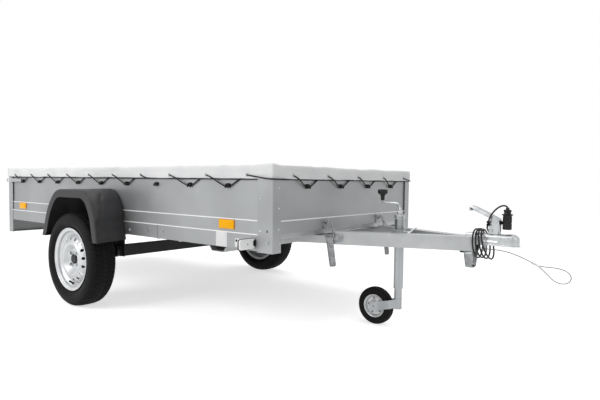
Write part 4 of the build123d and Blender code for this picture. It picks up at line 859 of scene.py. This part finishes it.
def holed_disc(radii, outer, holes, pitch, hole, height, centre, side, turn=0.0, around=32, across=6):
    """A dished disc: each sector is a grid from its hole's edge to its border, a plain dish lies within."""
    half, inner = pi / holes, radii[-1]
    ring = circle(full_turn(around))
    square = np.round(ring / np.abs(ring).max(1)[:, None], 9)
    reach = np.where(square[:, 0] > 0, outer - pitch, pitch - inner)
    border_r, border_a = pitch + square[:, 0] * reach, square[:, 1] * half
    hole_x, hole_y = (hole * ring + (pitch, 0)).T
    hole_r, hole_a = np.hypot(hole_x, hole_y), np.arctan2(hole_y, hole_x)
    v = np.linspace(0, 1, across)[:, None]
    r, a = hole_r + (border_r - hole_r) * v, hole_a + (border_a - hole_a) * v
    sectors = turn + np.arange(holes)[:, None, None] * 2 * half + a[None]
    edge = np.sort(border_a[square[:, 0] == -1])[:-1]
    plate = (turn + np.arange(holes)[:, None] * 2 * half + edge[None]).ravel()

    def placed(radius, angle):
        x, y, z = centre
        return grid_points(x + radius * np.cos(angle), y + side * height(radius), z + radius * np.sin(angle))

    shapes = [skin(placed(r, sector), False, True) for sector in sectors]
    return shapes + [skin(placed(np.asarray(radii)[:, None], plate[None]), False, True)]


WHEEL_FACE = 0.0353         # outboard of the wheel's middle
CAP_END = 45.5              # the same for the hub cap's end, in mm
BOLT_CIRCLE = 0.047         # radius


def dish(radius):
    """The wheel disc's face: a flat seat, a deep bowl, a crest and a band that falls to the barrel."""
    marks = 0.03, 0.06, 0.084, 0.0955, 0.107, 0.124, 0.1392
    heights = 0, 0, 0.026, 0.0285, 0.0215, 0.0135, -0.01
    spigot = 0.0022 * np.exp(-((radius - 0.0315) / 0.0018) ** 2)
    return WHEEL_FACE + rounded_line(radius, marks, heights, 0.0045) + spigot


def rim_skin(side):
    """The barrel: flanges with a rolled lip, bead seats and a drop well, as a closed thin section."""
    line = np.array([
        (182.2, -64.5), (179, -60), (172, -57.6), (166.5, -56.6), (165, -52), (164.2, -10), (160, -7),
        (142, 6), (140, 9.5), (140, 24), (142, 28), (160, 40.5), (164.2, 45), (165, 53), (166.5, 56.6),
        (172, 57.6), (179, 60), (182.2, 64.5)])
    loop = np.concatenate([line, (line - 3.6 * beside(np.gradient(line, axis=0)))[::-1]])
    return hoop(softened(loop, 2) * (1, side), (AXLE_X, side * WHEEL_Y, AXLE_Z), Y, 144)


def wheel_fittings(side):
    """Four ball-seat bolts on the seat of the disc."""
    shapes = []
    for k in range(4):
        a = radians(48 + 90 * k)
        place = np.array((
            AXLE_X + BOLT_CIRCLE * cos(a), side * (WHEEL_Y + WHEEL_FACE), AXLE_Z + BOLT_CIRCLE * sin(a)))
        collar = [(11.2, -1), (11.2, 2.2), (9.2, 4.6), (9.2, 5)]
        shapes.append(turned(collar, place, side * Y, 20))
        shapes.append(raised(
            polygon(6, 9.8, 0.2 + k, 1.4), [(0, 3.5), (0, 15), (1.4, 16.8)], place, X if side < 0 else -X, Z))
    return shapes


for side, name in SIDES:
    body = "wheel_" + name
    seat = (AXLE_X, side * WHEEL_Y, AXLE_Z)
    tyre = piece("road_tyre_" + name, tyre_skin(side), TYRE, body, 40.0)
    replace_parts(tyre, "tyre_" + name)
    disc = piece(
        "wheel_disc_" + name,
        holed_disc(np.linspace(0.03, 0.1055, 34), 0.1392, 16, 0.1205, 0.0092, dish, seat, side, 0.12), SILVER,
        body)
    welded(disc, (0, side, 0), 2e-5)
    thickened(disc, 0.0045)
    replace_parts(disc, "rim_" + name)
    piece("wheel_barrel_" + name, rim_skin(side), SILVER, body, 60.0)
    piece("wheel_bolts_" + name, wheel_fittings(side), ZINC, body)
    piece(
        "hub_cap_" + name,
        turned([
            (28.5, 34), (28.5, 40), (27, 44), (24, CAP_END), (20.5, CAP_END - 0.6), (19, CAP_END - 3),
            (18, CAP_END - 3.4)], seat, side * Y, 48), PLASTIC, body)
    piece(
        "hub_cap_plate_" + name,
        turned(
            [(17.8, CAP_END - 4), (17.6, CAP_END - 2.4), (10, CAP_END - 1.2), (4, CAP_END - 0.9)], seat,
            side * Y, 40), ZINC, body)
    lean = radians(-97)
    root = np.array((AXLE_X + 0.15 * cos(lean), side * (WHEEL_Y + 0.0335), AXLE_Z + 0.15 * sin(lean)))
    inward = np.array((-0.75 * cos(lean), side, -0.75 * sin(lean)))
    piece(
        "tyre_valve_" + name,
        turned([(8, 0), (8.5, 3), (5.5, 8), (4.6, 24), (5.2, 25), (5.2, 34), (3.4, 36)], root, inward, 16),
        RUBBER, body)


# ---- jockey wheel ------------------------------------------------------------------------------
JOCKEY_CENTRE = (JOCKEY_AXLE_X, 0.0, JOCKEY_AXLE_Z)


def jockey_tyre_skin():
    """A solid tyre: rounded shoulders, three shallow lines round its tread."""
    loop = softened([
        (58.5, -19), (64, -22.5), (80, -25), (90, -22.5), (95.8, -15), (96.6, -5), (96.6, 5), (95.8, 15),
        (90, 22.5), (80, 25), (64, 22.5), (58.5, 19), (58.5, 6), (58.5, -6)], 2)
    section = resampled(loop, 110)
    lines = sum(np.exp(-((section[:, 1] - at) / 0.9) ** 2) for at in (-9, 0, 9))
    section[:, 0] -= 1.4 * lines * (section[:, 0] > 90)
    return hoop(section, JOCKEY_CENTRE, Y, 128)


def jockey_disc_skin(side):
    """Height of each pressed half: a raised hub, a dished web with round holes and a turned rim edge."""
    def height(radius):
        return rounded_line(
            radius, (0.0125, 0.019, 0.023, 0.033, 0.047, 0.053, 0.059),
            (0.0225, 0.0225, 0.0125, 0.008, 0.008, 0.02, 0.0225), 0.0022)
    return holed_disc(
        np.linspace(0.0125, 0.0285, 16), 0.0592, 5, 0.0385, 0.0052, height, JOCKEY_CENTRE, side, 0.5, 32, 18)


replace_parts(piece("jockey_tread", jockey_tyre_skin(), TYRE, "jockey_wheel", 50.0), "jockey_tyre")
for side, name in SIDES:
    half = piece("jockey_disc_" + name, jockey_disc_skin(side), SILVER, "jockey_wheel")
    welded(half, (0, side, 0), 2e-5)
    thickened(half, 0.0016)
    if side < 0:
        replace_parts(half, "jockey_hub")
piece(
    "jockey_bush",
    turned([(8.5, -24), (12.5, -24), (13, -20), (13, 20), (12.5, 24), (8.5, 24)], JOCKEY_CENTRE, Y, 32), ZINC,
    "jockey_wheel")
axle_nut = raised(
    polygon(6, 11.5, 0.1, 1.2), [(0, 0), (0, 8), (1.2, 9.5)], (JOCKEY_AXLE_X, -0.0352, JOCKEY_AXLE_Z), X, -Z)
piece("jockey_axle_nuts", pair(axle_nut), ZINC, "jockey_fork")

crank_path = [
    (JOCKEY_X, 0, COLLAR_TOP), (JOCKEY_X, 0, 0.612), (JOCKEY_X - 0.012, 0, 0.632),
    (JOCKEY_X - 0.078, 0, 0.634), (JOCKEY_X - 0.098, 0, 0.64), (JOCKEY_X - 0.098, 0, 0.668)]
crank = piece(
    "crank_rod",
    [
        tube(eased(crank_path, 0.45, 7), 0.0062, Y, 16),
        turned(
            [(12.5, 571), (13.5, 574), (13.5, 586), (10.5, 590), (8.5, 600), (10, 604), (10, 608), (7, 611)],
            (JOCKEY_X, 0, 0), Z, 32)], ZINC, "jockey_mast")
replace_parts(crank, "jockey_crank")
piece(
    "crank_grip",
    turned([
        (8, 646), (10, 648), (9.8, 662), (12, 672), (20.5, 678), (24.5, 681), (25.5, 685), (25.5, 696.5),
        (24, 700), (19, 702), (6, 702.5)], (JOCKEY_X - 0.098, 0, 0), Z, 40), PLASTIC, "jockey_mast")
piece(
    "jockey_collar",
    hoop([
        (24.3, 554), (25.6, 555), (25.6, 562), (26.6, 564), (27.4, 570), (26.6, 574.5), (24, 576.2),
        (13.4, 577.5), (13.4, 576.2), (23.4, 575), (24.3, 573.5)], (JOCKEY_X, 0, 0), Z, 48), ZINC,
    "jockey_mast")
piece(
    "jockey_thrust_ring",
    turned([(19.2, 146.5), (21.2, 147.5), (21.2, 150), (19.2, 150.8)], (JOCKEY_X, 0, 0), Z, 40), ZINC,
    "jockey_fork")


# ---- coupling ----------------------------------------------------------------------------------
SOCKET_X, SHELL_TOP, SHELL_FOOT = 1.758, 0.515, 0.4668


def coupling_skin():
    """A pressed shell: one section runs along both sides and half way round the ball's seat."""
    marks = np.array([
        (0.0332, SHELL_FOOT), (0.0304, SHELL_FOOT), (0.029, 0.4684), (0.0288, 0.498), (0.0278, 0.5055),
        (0.025, 0.5105), (0.0205, 0.5132), (0.014, 0.5146), (0.006, SHELL_TOP), (0.0, SHELL_TOP)])
    reach, up = resampled(marks, 46, False).T
    straight, around = np.linspace(0.1985, 0.0, 90), np.linspace(-pi / 2, pi / 2, 49)[1:-1]
    behind = np.concatenate([straight, 0 * around, straight[::-1]])[:, None]
    angle = np.concatenate([0 * straight - pi / 2, around, 0 * straight + pi / 2])[:, None]
    x = SOCKET_X - behind
    side_groove = np.exp(-((x - 1.668) / 0.036) ** 6) * np.exp(-((up - 0.489) / 0.0075) ** 4)
    drawn = reach - 0.0022 * side_groove
    x, y = x + drawn * np.cos(angle), drawn * np.sin(angle)
    high = (up - SHELL_FOOT) / (SHELL_TOP - SHELL_FOOT)
    dome = 0.003 * np.exp(-((x - SOCKET_X + 0.004) ** 2 + y ** 2) / 0.019 ** 2)
    ridge = -0.0022 * np.exp(-(y / 0.0075) ** 4) * np.exp(-((x - 1.69) / 0.034) ** 6)
    z = up + high * (dome + ridge - 0.012 * np.clip((x - SOCKET_X) / 0.033, 0, 1) ** 2)
    squeeze = 0.385 + 0.615 * smooth_step(x, 1.603, 1.613)
    z = SHELL_TOP - (SHELL_TOP - z) * squeeze
    return skin(grid_points(x, y, z))


def channel(path, half, depth, sheet):
    """A U section, its back grooved, carried along a path in the centre plane."""
    path = np.asarray(path, float)
    normal = beside(np.gradient(path, axis=0))
    c = 0.0045
    outer = np.array([
        (-half, -depth), (-half, -c), (0.2 * c - half, -0.4 * c), (c - half, 0), (-0.4 * half, 0),
        (-0.22 * half, -0.0022), (0.22 * half, -0.0022), (0.4 * half, 0), (half - c, 0),
        (half - 0.2 * c, -0.4 * c), (half, -c), (half, -depth)])
    inner = outer * ((half - sheet) / half, 1) - (0, sheet)
    inner[[0, -1], 1] = -depth
    section = np.concatenate([outer, inner[::-1]])
    along = path[:, None] + section[:, 1:] * normal[:, None]
    return loft(grid_points(along[..., 0], section[:, 0], along[..., 1]))


shell = piece("coupling_shell", coupling_skin(), ZINC, "drawbar", 50.0)
welded(shell, (0, 0, 1))
thickened(shell, 0.0028)
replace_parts(shell, "coupling_body")
piece(
    "ball_seat", hoop([(25.6, 467.6), (28.2, 467.6), (28.2, 499), (25.6, 499)], (SOCKET_X, 0, 0), Z, 64),
    ZINC, "drawbar")
grip_path = eased([
    (1.706, 0, 0.58), (1.69, 0, 0.59), (1.596, 0, 0.633), (1.574, 0, 0.637), (1.567, 0, 0.624),
    (1.572, 0, 0.612)], 0.46, 8)[:, [0, 2]]
cheek = raised(
    np.array([
        (1661, 514), (1701, 514), (1703.5, 530), (1704.5, 565), (1703, 579), (1696, 585), (1680, 587),
        (1666, 578), (1660, 560), (1659, 530)]), [(0.4, -1.5), (0, -1.1), (0, 1.1), (0.4, 1.5)],
    (0, -0.0165, 0), X, Z)
handle = piece(
    "coupling_grip", [channel(grip_path, 0.02, 0.0175, 0.0028)] + pair(cheek), ZINC, "drawbar", 40.0)
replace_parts(handle, "coupling_handle")
pin = [(5.2, -22.5), (6, -21.5), (6, -20), (4.2, -19.8), (4.2, 19.8), (6, 20), (6, 21.5), (5.2, 22.5)]
piece(
    "coupling_pins", [turned(pin, (x, 0, z), Y, 20) for x, z in ((1.693, 0.572), (1.672, 0.529))], ZINC,
    "drawbar")


def strap_skin():
    """A strap bent to a U under the nose: half width = 14.5 mm at its foot, 23 mm at its top."""
    line = eased([(0, -0.03, 0.4302), (0, -0.0245, 0.3545), (0, 0.0245, 0.3545), (0, 0.03, 0.4302)], 0.3, 8)
    line = finer(line, 60)
    v = np.linspace(-1, 1, 9)[None, :]
    half = 0.0145 + 0.0085 * (line[:, 2:] - 0.3505) / 0.08
    bow = 1 + 0.0016 / 0.03 * (1 - v ** 4)
    return skin(grid_points(1.577 + v * half, line[:, 1:2] * bow, line[:, 2:]))


strap = piece("skid_strap", strap_skin(), DULL_ZINC, "drawbar", 50.0)
thickened(strap, 0.0042, 0.0)
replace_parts(strap, "support_skid")
holder_plate = tile((5.5, 33, 2), [(0, -1), (0, 1)], (1.7045, -0.01, 0.5475), Y, Z)
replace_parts(piece("plug_bracket", holder_plate, ZINC, "drawbar"), "plug_holder")
piece(
    "plug_clip",
    turned([(8.5, 0), (10.5, 2), (10.5, 6), (7.5, 8), (7.5, 13.5)], (1.704, -0.01, 0.566), X, 24), RUBBER,
    "drawbar")

# ---- tilt latches ------------------------------------------------------------------------------
LATCH_AT, ARM_ANGLE = np.array((0.973, -0.236, 0.471)), radians(20.807)
ALONG_ARM = np.array((cos(ARM_ANGLE), sin(ARM_ANGLE), 0))
OFF_ARM = np.array((sin(ARM_ANGLE), -cos(ARM_ANGLE), 0))
CATCH_Y, CATCH_Z = -0.26, 0.53


def at_latch(along, off, up):
    """A place from the latch's root: along the arm, off its outer side and up."""
    return LATCH_AT + along * ALONG_ARM + off * OFF_ARM + up * Z


def latch_skins():
    """One toggle latch: bracket, pin with its spring, a lever pressed as a tray, and the wire bail."""
    lean = radians(8)
    down = -sin(lean) * ALONG_ARM + cos(lean) * Z
    ahead = cos(lean) * ALONG_ARM + sin(lean) * Z
    tray = rounded_rectangle(18, 73.5, 7)
    tray = tray * np.stack([1 - 0.1 * (0.5 - tray[:, 1] / 147), np.ones(len(tray))], -1)
    middle = at_latch(-0.01, 0.041, 0) - 0.076 * down
    shapes = [raised(tray, [(0, 0), (0, 6.2), (1, 7.2), (4.6, 7.2), (5.6, 3)], middle, ahead, down)]
    shapes += [
        tile((9.5, 3.2, 1), [(0, 2.5), (0, 5), (0.8, 5.8)], middle + step * down, ahead, down)
        for step in np.arange(-0.056, 0.05, 0.0155)]
    # bracket bolted to the arm
    shapes.append(
        tile((29, 19.5, 6), [(0, 0), (0, 6.2), (1.2, 7.4)], at_latch(0.026, 0.0302, -0.0085), ALONG_ARM, Z))
    shapes += [hex_bolt(at_latch(a, 0.0374, -0.0085), OFF_ARM, ALONG_ARM, 6.2) for a in (0.014, 0.041)]
    # pin, rings of the spring, and a cap at each end
    pin = at_latch(-0.01, 0.0465, 0.004)
    shapes.append(turned(
        [(7, -26), (8.5, -24.5), (8.5, -20), (5, -19.5), (5, 19.5), (8.5, 20), (8.5, 24.5), (7, 26)], pin,
        ALONG_ARM, 20))
    shapes += [
        hoop(oval(7.8, 1.4, 1.4), pin + step * ALONG_ARM, ALONG_ARM, 20)
        for step in np.arange(-0.015, 0.016, 0.0038)]
    # bail: two legs and a cross rod that hooks over the catch
    rod_x, rod_z = 0.9665, CATCH_Z + 0.013
    legs = [
        (pin + shift * ALONG_ARM, (rod_x, CATCH_Y + side * 0.013, rod_z))
        for shift, side in ((-0.0215, -1), (0.0215, 1))]
    shapes += [
        tube(eased([foot, 0.5 * foot + 0.5 * np.array(top) + 0.004 * OFF_ARM, top]), 0.0032, ALONG_ARM, 10)
        for foot, top in legs]
    shapes.append(tube(np.linspace(legs[0][1], legs[1][1], 6), 0.0033, Z, 10))
    return shapes


def catch_skins():
    """The catch on the front wall: a plate with two rivets and a hook bent up out of a round bar."""
    plate = tile((20.5, 22, 6), [(0, 0), (0, 3), (1, 3.8)], (0.936, CATCH_Y, 0.529), Y, Z)
    hook = tube(
        eased([(0.938, CATCH_Y, 0.5335), (0.953, CATCH_Y, 0.5335), (0.955, CATCH_Y, 0.548)], 0.46, 6), 0.0052,
        Y, 14)
    heads = [rivet((0.9398, CATCH_Y + dy, 0.529), X, 4.2) for dy in (-0.0145, 0.0145)]
    return [plate, hook] + heads


# ---- mudguards ---------------------------------------------------------------------------------
GUARD_X, GUARD_FOOT = AXLE_X + 0.013, AXLE_Z + 0.12
# forward of the guard's middle, over the wheel's centre
OUTER_ARCH = [
    (-0.3136, 0.12), (-0.2454, 0.297), (-0.15, 0.403), (0.165, 0.404), (0.232, 0.362), (0.2836, 0.27),
    (0.3163, 0.12)]
INNER_ARCH = [
    (-0.2618, 0.12), (-0.2263, 0.285), (-0.12, 0.399), (0.105, 0.402), (0.16, 0.362), (0.2119, 0.275),
    (0.2501, 0.12)]


def mudguard_skin(side):
    """A roof ruled between two arches, with a lip turned down along each, as one closed section."""
    def path(arch):
        line = eased(np.array([(GUARD_X + x, AXLE_Z + z, 0) for x, z in arch]), 0.44, 9)[:, :2]
        line = finer(line, 3 * len(line))
        return line, beside(np.gradient(line, axis=0))

    (outer_line, outer_in), (inner_line, inner_in) = path(OUTER_ARCH), path(INNER_ARCH)
    outer, inner = 0.8745, HALF + 0.0006
    roof = np.linspace(outer - 0.012, inner + 0.01, 26)
    # columns: drawn in from the arch, distance from the centre plane
    outer_lip = [
        (0.046, outer - 0.0025), (0.046, outer), (0.0445, outer), (0.015, outer), (0.006, outer - 0.0004),
        (0.0022, outer - 0.003), (0.0006, outer - 0.0075)]
    inner_lip = [
        (0.001, inner + 0.004), (0.006, inner), (0.045, inner), (0.045, inner + 0.003),
        (0.008, inner + 0.0035)]
    back = [(0.006, outer - 0.0055), (0.011, outer - 0.0032), (0.0445, outer - 0.003)]
    above, under = np.c_[0 * roof, roof], np.c_[0 * roof + 0.0042, roof[::-1]]
    section = np.concatenate([outer_lip, above, inner_lip, under, back])
    share = ((outer - section[:, 1]) / (outer - inner))[None, :, None]
    drawn = section[None, :, :1]
    along = np.linspace(0, 1, len(outer_line))[:, None]
    # a flat facet falls from the crown to the lip: wide at the front bend, it narrows to the foot
    across = share[..., 0]
    facet = 0.08 + 0.3 * (1 - np.clip((along - 0.56) / 0.4, 0, 1))
    crown = smooth_step(along, 0.3, 0.58) * (1 - smooth_step(along, 0.92, 1.0))
    rise = -0.0125 * crown * np.clip(across / facet, 0, 1)
    hollow = 0.005 * crown * smooth_step(along, 0.6, 0.7) * np.exp(-((across - facet - 0.1) / 0.09) ** 2)
    on_roof = (section[:, 0] < 0.005)[None]
    drawn = drawn + ((rise + hollow) * on_roof)[..., None]
    outer_spot = outer_line[:, None] + drawn * outer_in[:, None]
    inner_spot = inner_line[:, None] + drawn * inner_in[:, None]
    spot = outer_spot * (1 - share) + inner_spot * share
    return loft(grid_points(spot[..., 0], side * section[:, 1], np.maximum(spot[..., 1], GUARD_FOOT)))


for side, name in SIDES:
    guard = piece("mudguard_" + name, mudguard_skin(side), FENDER, "bed", 40.0)
    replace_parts(guard, "fender_" + name)


# ---- lamps, reflectors and plates --------------------------------------------------------------
def middle_height(node):
    """The height half way up a node."""
    low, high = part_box(node)
    return (low.z + high.z) / 2


LAMP_Z = middle_height("tail_lamps")
housings, reds, ambers, clears = [], [], [], []
for side in (-1, 1):
    inner, outer, edge = 0.405, 0.623, 0.005
    middle = side * (inner + outer) / 2
    housings.append(tile((109, 41, 12), [(2, -1), (0, 0), (0, 10), (3, 13)], (REAR, middle, LAMP_Z), -Y, Z))
    for share_low, share_high, group in ((0.0, 0.36, ambers), (0.37, 0.8, reds), (0.81, 1.0, clears)):
        a, b = (side * (outer - edge - (outer - inner - 2 * edge) * s) for s in (share_low, share_high))
        half = 1000 * abs(a - b) / 2
        group.append(
            tile((half, 37, 7), [(0, 9), (0, 22), (2, 27.5), (6, 29.8)], (REAR, (a + b) / 2, LAMP_Z), -Y, Z))
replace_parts(piece("tail_lamp_bases", housings, PLASTIC, "bed"), "tail_lamps")
piece("tail_lamp_reds", reds, RED_LENS, "bed")
piece("tail_lamp_ambers", ambers, AMBER_LENS, "bed")
piece("tail_lamp_clears", clears, CLEAR_LENS, "bed")

TRIANGLE_Y = 0.33
triangle = polygon(3, 80.8, pi / 2, 10, 6)
TRIANGLE_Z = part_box("triangle_reflectors")[0].z + 0.0404
for name, layers, material in (
        ("triangle_backs", [(0, 0), (0, 4), (1, 5)], PLASTIC),
        ("triangle_lenses", [(4, 4), (4, 6.2), (6, 7)], RED)):
    triangles = piece(
        name, [raised(0.97 * triangle, layers, (REAR, s * TRIANGLE_Y, TRIANGLE_Z), -Y, Z) for s in (-1, 1)],
        material, "bed")
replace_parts(triangles, "triangle_reflectors")

REFLECTOR_X = [FRONT - 0.289, REAR + 0.238]
REFLECTOR_Z = middle_height("side_reflectors")
reflector_backs, reflector_faces = [], []
for x in REFLECTOR_X:
    spot = (x, -0.651, REFLECTOR_Z)
    reflector_backs += pair(tile((52, 22, 3), [(0, 0), (0, 3), (1, 3.8)], spot, X, Z))
    reflector_faces += pair(tile((50.5, 20.5, 2.5), [(0, 3), (0, 5.2), (1.4, 6)], spot, X, Z))
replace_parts(piece("side_reflector_faces", reflector_faces, AMBER, "bed"), "side_reflectors")
piece("side_reflector_bases", reflector_backs, AMBER_LENS, "bed")

MARK_X, MARK_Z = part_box("front_markers")[1].x, middle_height("front_markers")
mark_at = (MARK_X, -0.7045, MARK_Z)
holder = tile((51, 25.5, 12.5), [(12, -17), (3, -14.5), (0, -11), (0, -8.5), (1.8, -7)], mark_at, Y, Z)
stem = tile(
    (18, 15, 5), [(3, -12), (0, 0), (-2, 20), (-3, 34)], (MARK_X - 0.019, -0.68, MARK_Z + 0.002), -X, Z)
lens = tile((48.8, 23.2, 11.5, 7), [(0, -12), (0, -4), (1, -1.6), (3.4, -0.5), (11, 0)], mark_at, Y, Z)
screw = turned([(4.8, -1), (4.8, 0.4), (3.4, 1)], mark_at, X, 16)
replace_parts(piece("front_lamp_holders", pair(holder) + pair(stem), RUBBER, "bed"), "front_markers")
piece("front_lamp_lenses", pair(lens), CLEAR_LENS, "bed")
piece("front_lamp_screws", pair(screw), ZINC, "bed")

PLATE_Z = middle_height("number_plate")
piece(
    "plate_holder",
    tile((262.5, 57, 6), [(1, 0), (0, 0.8), (0, 3.4), (1, 3.8)], (REAR + 0.002, 0, PLATE_Z), -Y, Z), PLASTIC,
    "bed")
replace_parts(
    piece(
        "blank_plate",
        tile((254, 50.5, 8), [(0, 1), (0, 3.4), (1.6, 4), (3, 3.4), (4.5, 3.6)], (REAR, 0, PLATE_Z), -Y, Z),
        FILM, "bed"), "number_plate")

# ---- labels, bolts and rivets ------------------------------------------------------------------
piece(
    "blank_labels",
    [
        tile((38, 37, 3), [(0, 0), (0, 0.3), (0.2, 0.4)], (FRONT - 0.323, -0.6541, 0.4615), X, Z),
        tile((27, 20, 2), [(0, 0), (0, 0.3), (0.2, 0.4)], (FRONT - 0.205, -0.6541, 0.45), X, Z)], LABEL,
    "bed")
# a thin black plate where the slot is: painted shade for the dark inside of the hole
painted_shade_slot = tile((2.8, 6.2, 2.6), [(0, -1), (0, 0.4), (0.4, 0.6)], (FRONT - 0.0296, -0.656, 0.515), X, Z)
sill_joint = tile((1.1, 35.5, 0.4), [(0, -1), (0, 0.3), (0.2, 0.4)], (FRONT - 0.825, -0.654, 0.458), X, Z)
piece(
    "dark_joint_and_slot_shade",
    pair(painted_shade_slot) + pair(sill_joint) + [
        tile((6, 5, 1), [(0, 0), (0, 0.6), (0.2, 0.8)], (FRONT - 0.2215, -0.6541, 0.46), X, Z)], RUBBER,
    "bed")

BEAD = 0.003                # radius of the line of light along a fold
fold_lines = [
    [(x, -y, z) for x in np.linspace(REAR + 0.03, FRONT - 0.0915, 40)]
    for y, z in ((0.6531, SILL_HIGH - 0.0008), (0.65, RIB_Z - 0.001))]
side_beads = [tube(line, BEAD, Z, 10) for line in fold_lines]
nose_bead = tube([(0.9352, y, RIB_Z - 0.001) for y in np.linspace(-0.612, 0.612, 30)], BEAD, Z, 10)
# the beads are near white: a painted highlight along the folds
piece("fold_edges", pair(*side_beads) + [nose_bead], PAINTED_HIGHLIGHT_EDGE, "bed")


def rivet(centre, out, radius):
    """A low dome; its radius is in mm."""
    dome = [
        (radius, 0), (0.94 * radius, 0.22 * radius), (0.72 * radius, 0.42 * radius),
        (0.34 * radius, 0.54 * radius)]
    return turned(dome, centre, out, 12)


def hex_bolt(centre, out, across, radius=8):
    """A washer and a hexagon head; its radius is in mm."""
    washer = turned([(1.45 * radius, 0), (1.45 * radius, 1.4), (1.38 * radius, 1.8)], centre, out, 24)
    head = raised(
        polygon(6, radius, 0.3, 0.8), [(0, 1), (0, 5.6), (1, 6.6)], centre, across, np.cross(out, across))
    return joined([washer, head])


latches, catches = latch_skins(), catch_skins()
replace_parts(piece("toggle_latches", pair(*latches), DULL_ZINC, "drawbar", 40.0), "tilt_latches")
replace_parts(piece("tilt_catches", pair(*catches), DULL_ZINC, "bed", 40.0), "tilt_hooks")

gusset = tile((40, 47, 10), [(1, 0), (0, 1), (0, 4), (1, 5)], (-0.296, -0.665, 0.38), X, Z)
piece("axle_gussets", pair(gusset), BLACK_PAINT, "bed")

near_rivets = [
    ((FRONT - 0.0707, -0.656, 0.658), 5), ((FRONT - 0.0719, -0.656, 0.5135), 6.2),
    ((FRONT - 0.825, -0.648, 0.64), 3)]
near_rivets += [((REAR + 0.045, -0.656, z), 4.8) for z in (0.53, 0.64, 0.36, 0.395)]
nose_rivets = [((0.941, -0.615, z), 5) for z in (0.709, 0.617, 0.524)]
nose_rivets += [((0.941, -0.608, 0.461), 4.2), ((0.941, -0.647, 0.46), 3.6)]
rivets = []
for marks, out in ((near_rivets, -Y), (nose_rivets, X)):
    for centre, radius in marks:
        rivets += pair(rivet(centre, out, radius))
piece("body_rivets", rivets, ZINC, "bed")
bolts = []
for x, z in ((FRONT - 0.0278, 0.465), (FRONT - 0.8995, 0.464), (FRONT - 0.781, 0.464),
             (AXLE_X + 0.29, 0.45), (AXLE_X + 0.065, 0.45)):
    bolts += pair(hex_bolt((x, -0.656 if x > FRONT - 0.1 else -0.654, z), -Y, X))
for x in (FRONT - 0.8525, FRONT - 0.6678):
    bolts += pair(hex_bolt((x, -0.625, 0.4215), -Z, X))
piece("body_bolts", bolts, ZINC, "bed")

# ---- floor, light and world --------------------------------------------------------------------
AMBIENT, BACKDROP, FLOOR_GLOW = 0.42, 1.0, 0.62
FLOOR_REACH = 40            # metres to each side

white = bpy.data.materials.new("pale_floor")
white.use_nodes = True
tree = white.node_tree
ground = tree.nodes["Principled BSDF"]
ground.inputs["Base Color"].default_value = linear("#EDEDED")
ground.inputs["Roughness"].default_value = 0.9
ground.inputs["Specular IOR Level"].default_value = 0.1
ground.inputs["Emission Color"].default_value = (1, 1, 1, 1)


def only_seen(tree):
    """One where the camera, a reflection or glass looks, and nothing where light falls on a piece."""
    ray = add(tree, "LightPath")
    seen = add(
        tree, "Math", {0: ray.outputs["Is Camera Ray"], 1: ray.outputs["Is Glossy Ray"]}, operation="MAXIMUM")
    seen = add(tree, "Math", {0: seen.outputs[0], 1: ray.outputs["Is Transmission Ray"]}, operation="MAXIMUM")
    return seen.outputs[0]


glow = add(tree, "Math", {0: only_seen(tree), 1: FLOOR_GLOW}, operation="MULTIPLY")
tree.links.new(glow.outputs[0], ground.inputs["Emission Strength"])
floor_mesh = bpy.data.meshes.new("floor")
floor_corners = [(a * FLOOR_REACH, b * FLOOR_REACH, 0) for a, b in ((-1, -1), (1, -1), (1, 1), (-1, 1))]
floor_mesh.from_pydata(floor_corners, [], [(0, 1, 2, 3)])
floor_mesh.materials.append(white)
floor = linked("floor", floor_mesh)

world = bpy.data.worlds.new("studio")
bpy.context.scene.world = world
world.use_nodes = True
sky = world.node_tree
sky.nodes.clear()
ambient = add(sky, "Background", {"Color": (1, 1, 1, 1), "Strength": AMBIENT})
backdrop = add(sky, "Background", {"Color": (1, 1, 1, 1), "Strength": BACKDROP})
mix = add(sky, "MixShader", {0: only_seen(sky), 1: ambient.outputs[0], 2: backdrop.outputs[0]})
add(sky, "OutputWorld", {"Surface": mix.outputs[0]})


def soft_light(name, place, target, size, power):
    """A square lamp that faces a point."""
    lamp = linked(name, bpy.data.lights.new(name, "AREA"))
    lamp.data.size, lamp.data.energy = size, power
    lamp.location = place
    lamp.rotation_mode = "QUATERNION"
    lamp.rotation_quaternion = (Vector(target) - Vector(place)).to_track_quat("-Z", "Y")


soft_light("key", (-1.6, -5.2, 3.4), (-0.4, 0, 0.4), 3.2, 160)
soft_light("top", (0.3, 0.6, 5.2), (0.2, 0, 0.4), 4.0, 98)
soft_light("nose", (5.0, -1.0, 2.2), (0.8, 0, 0.4), 2.4, 23)

bpy.context.scene.view_settings.view_transform = "Standard"
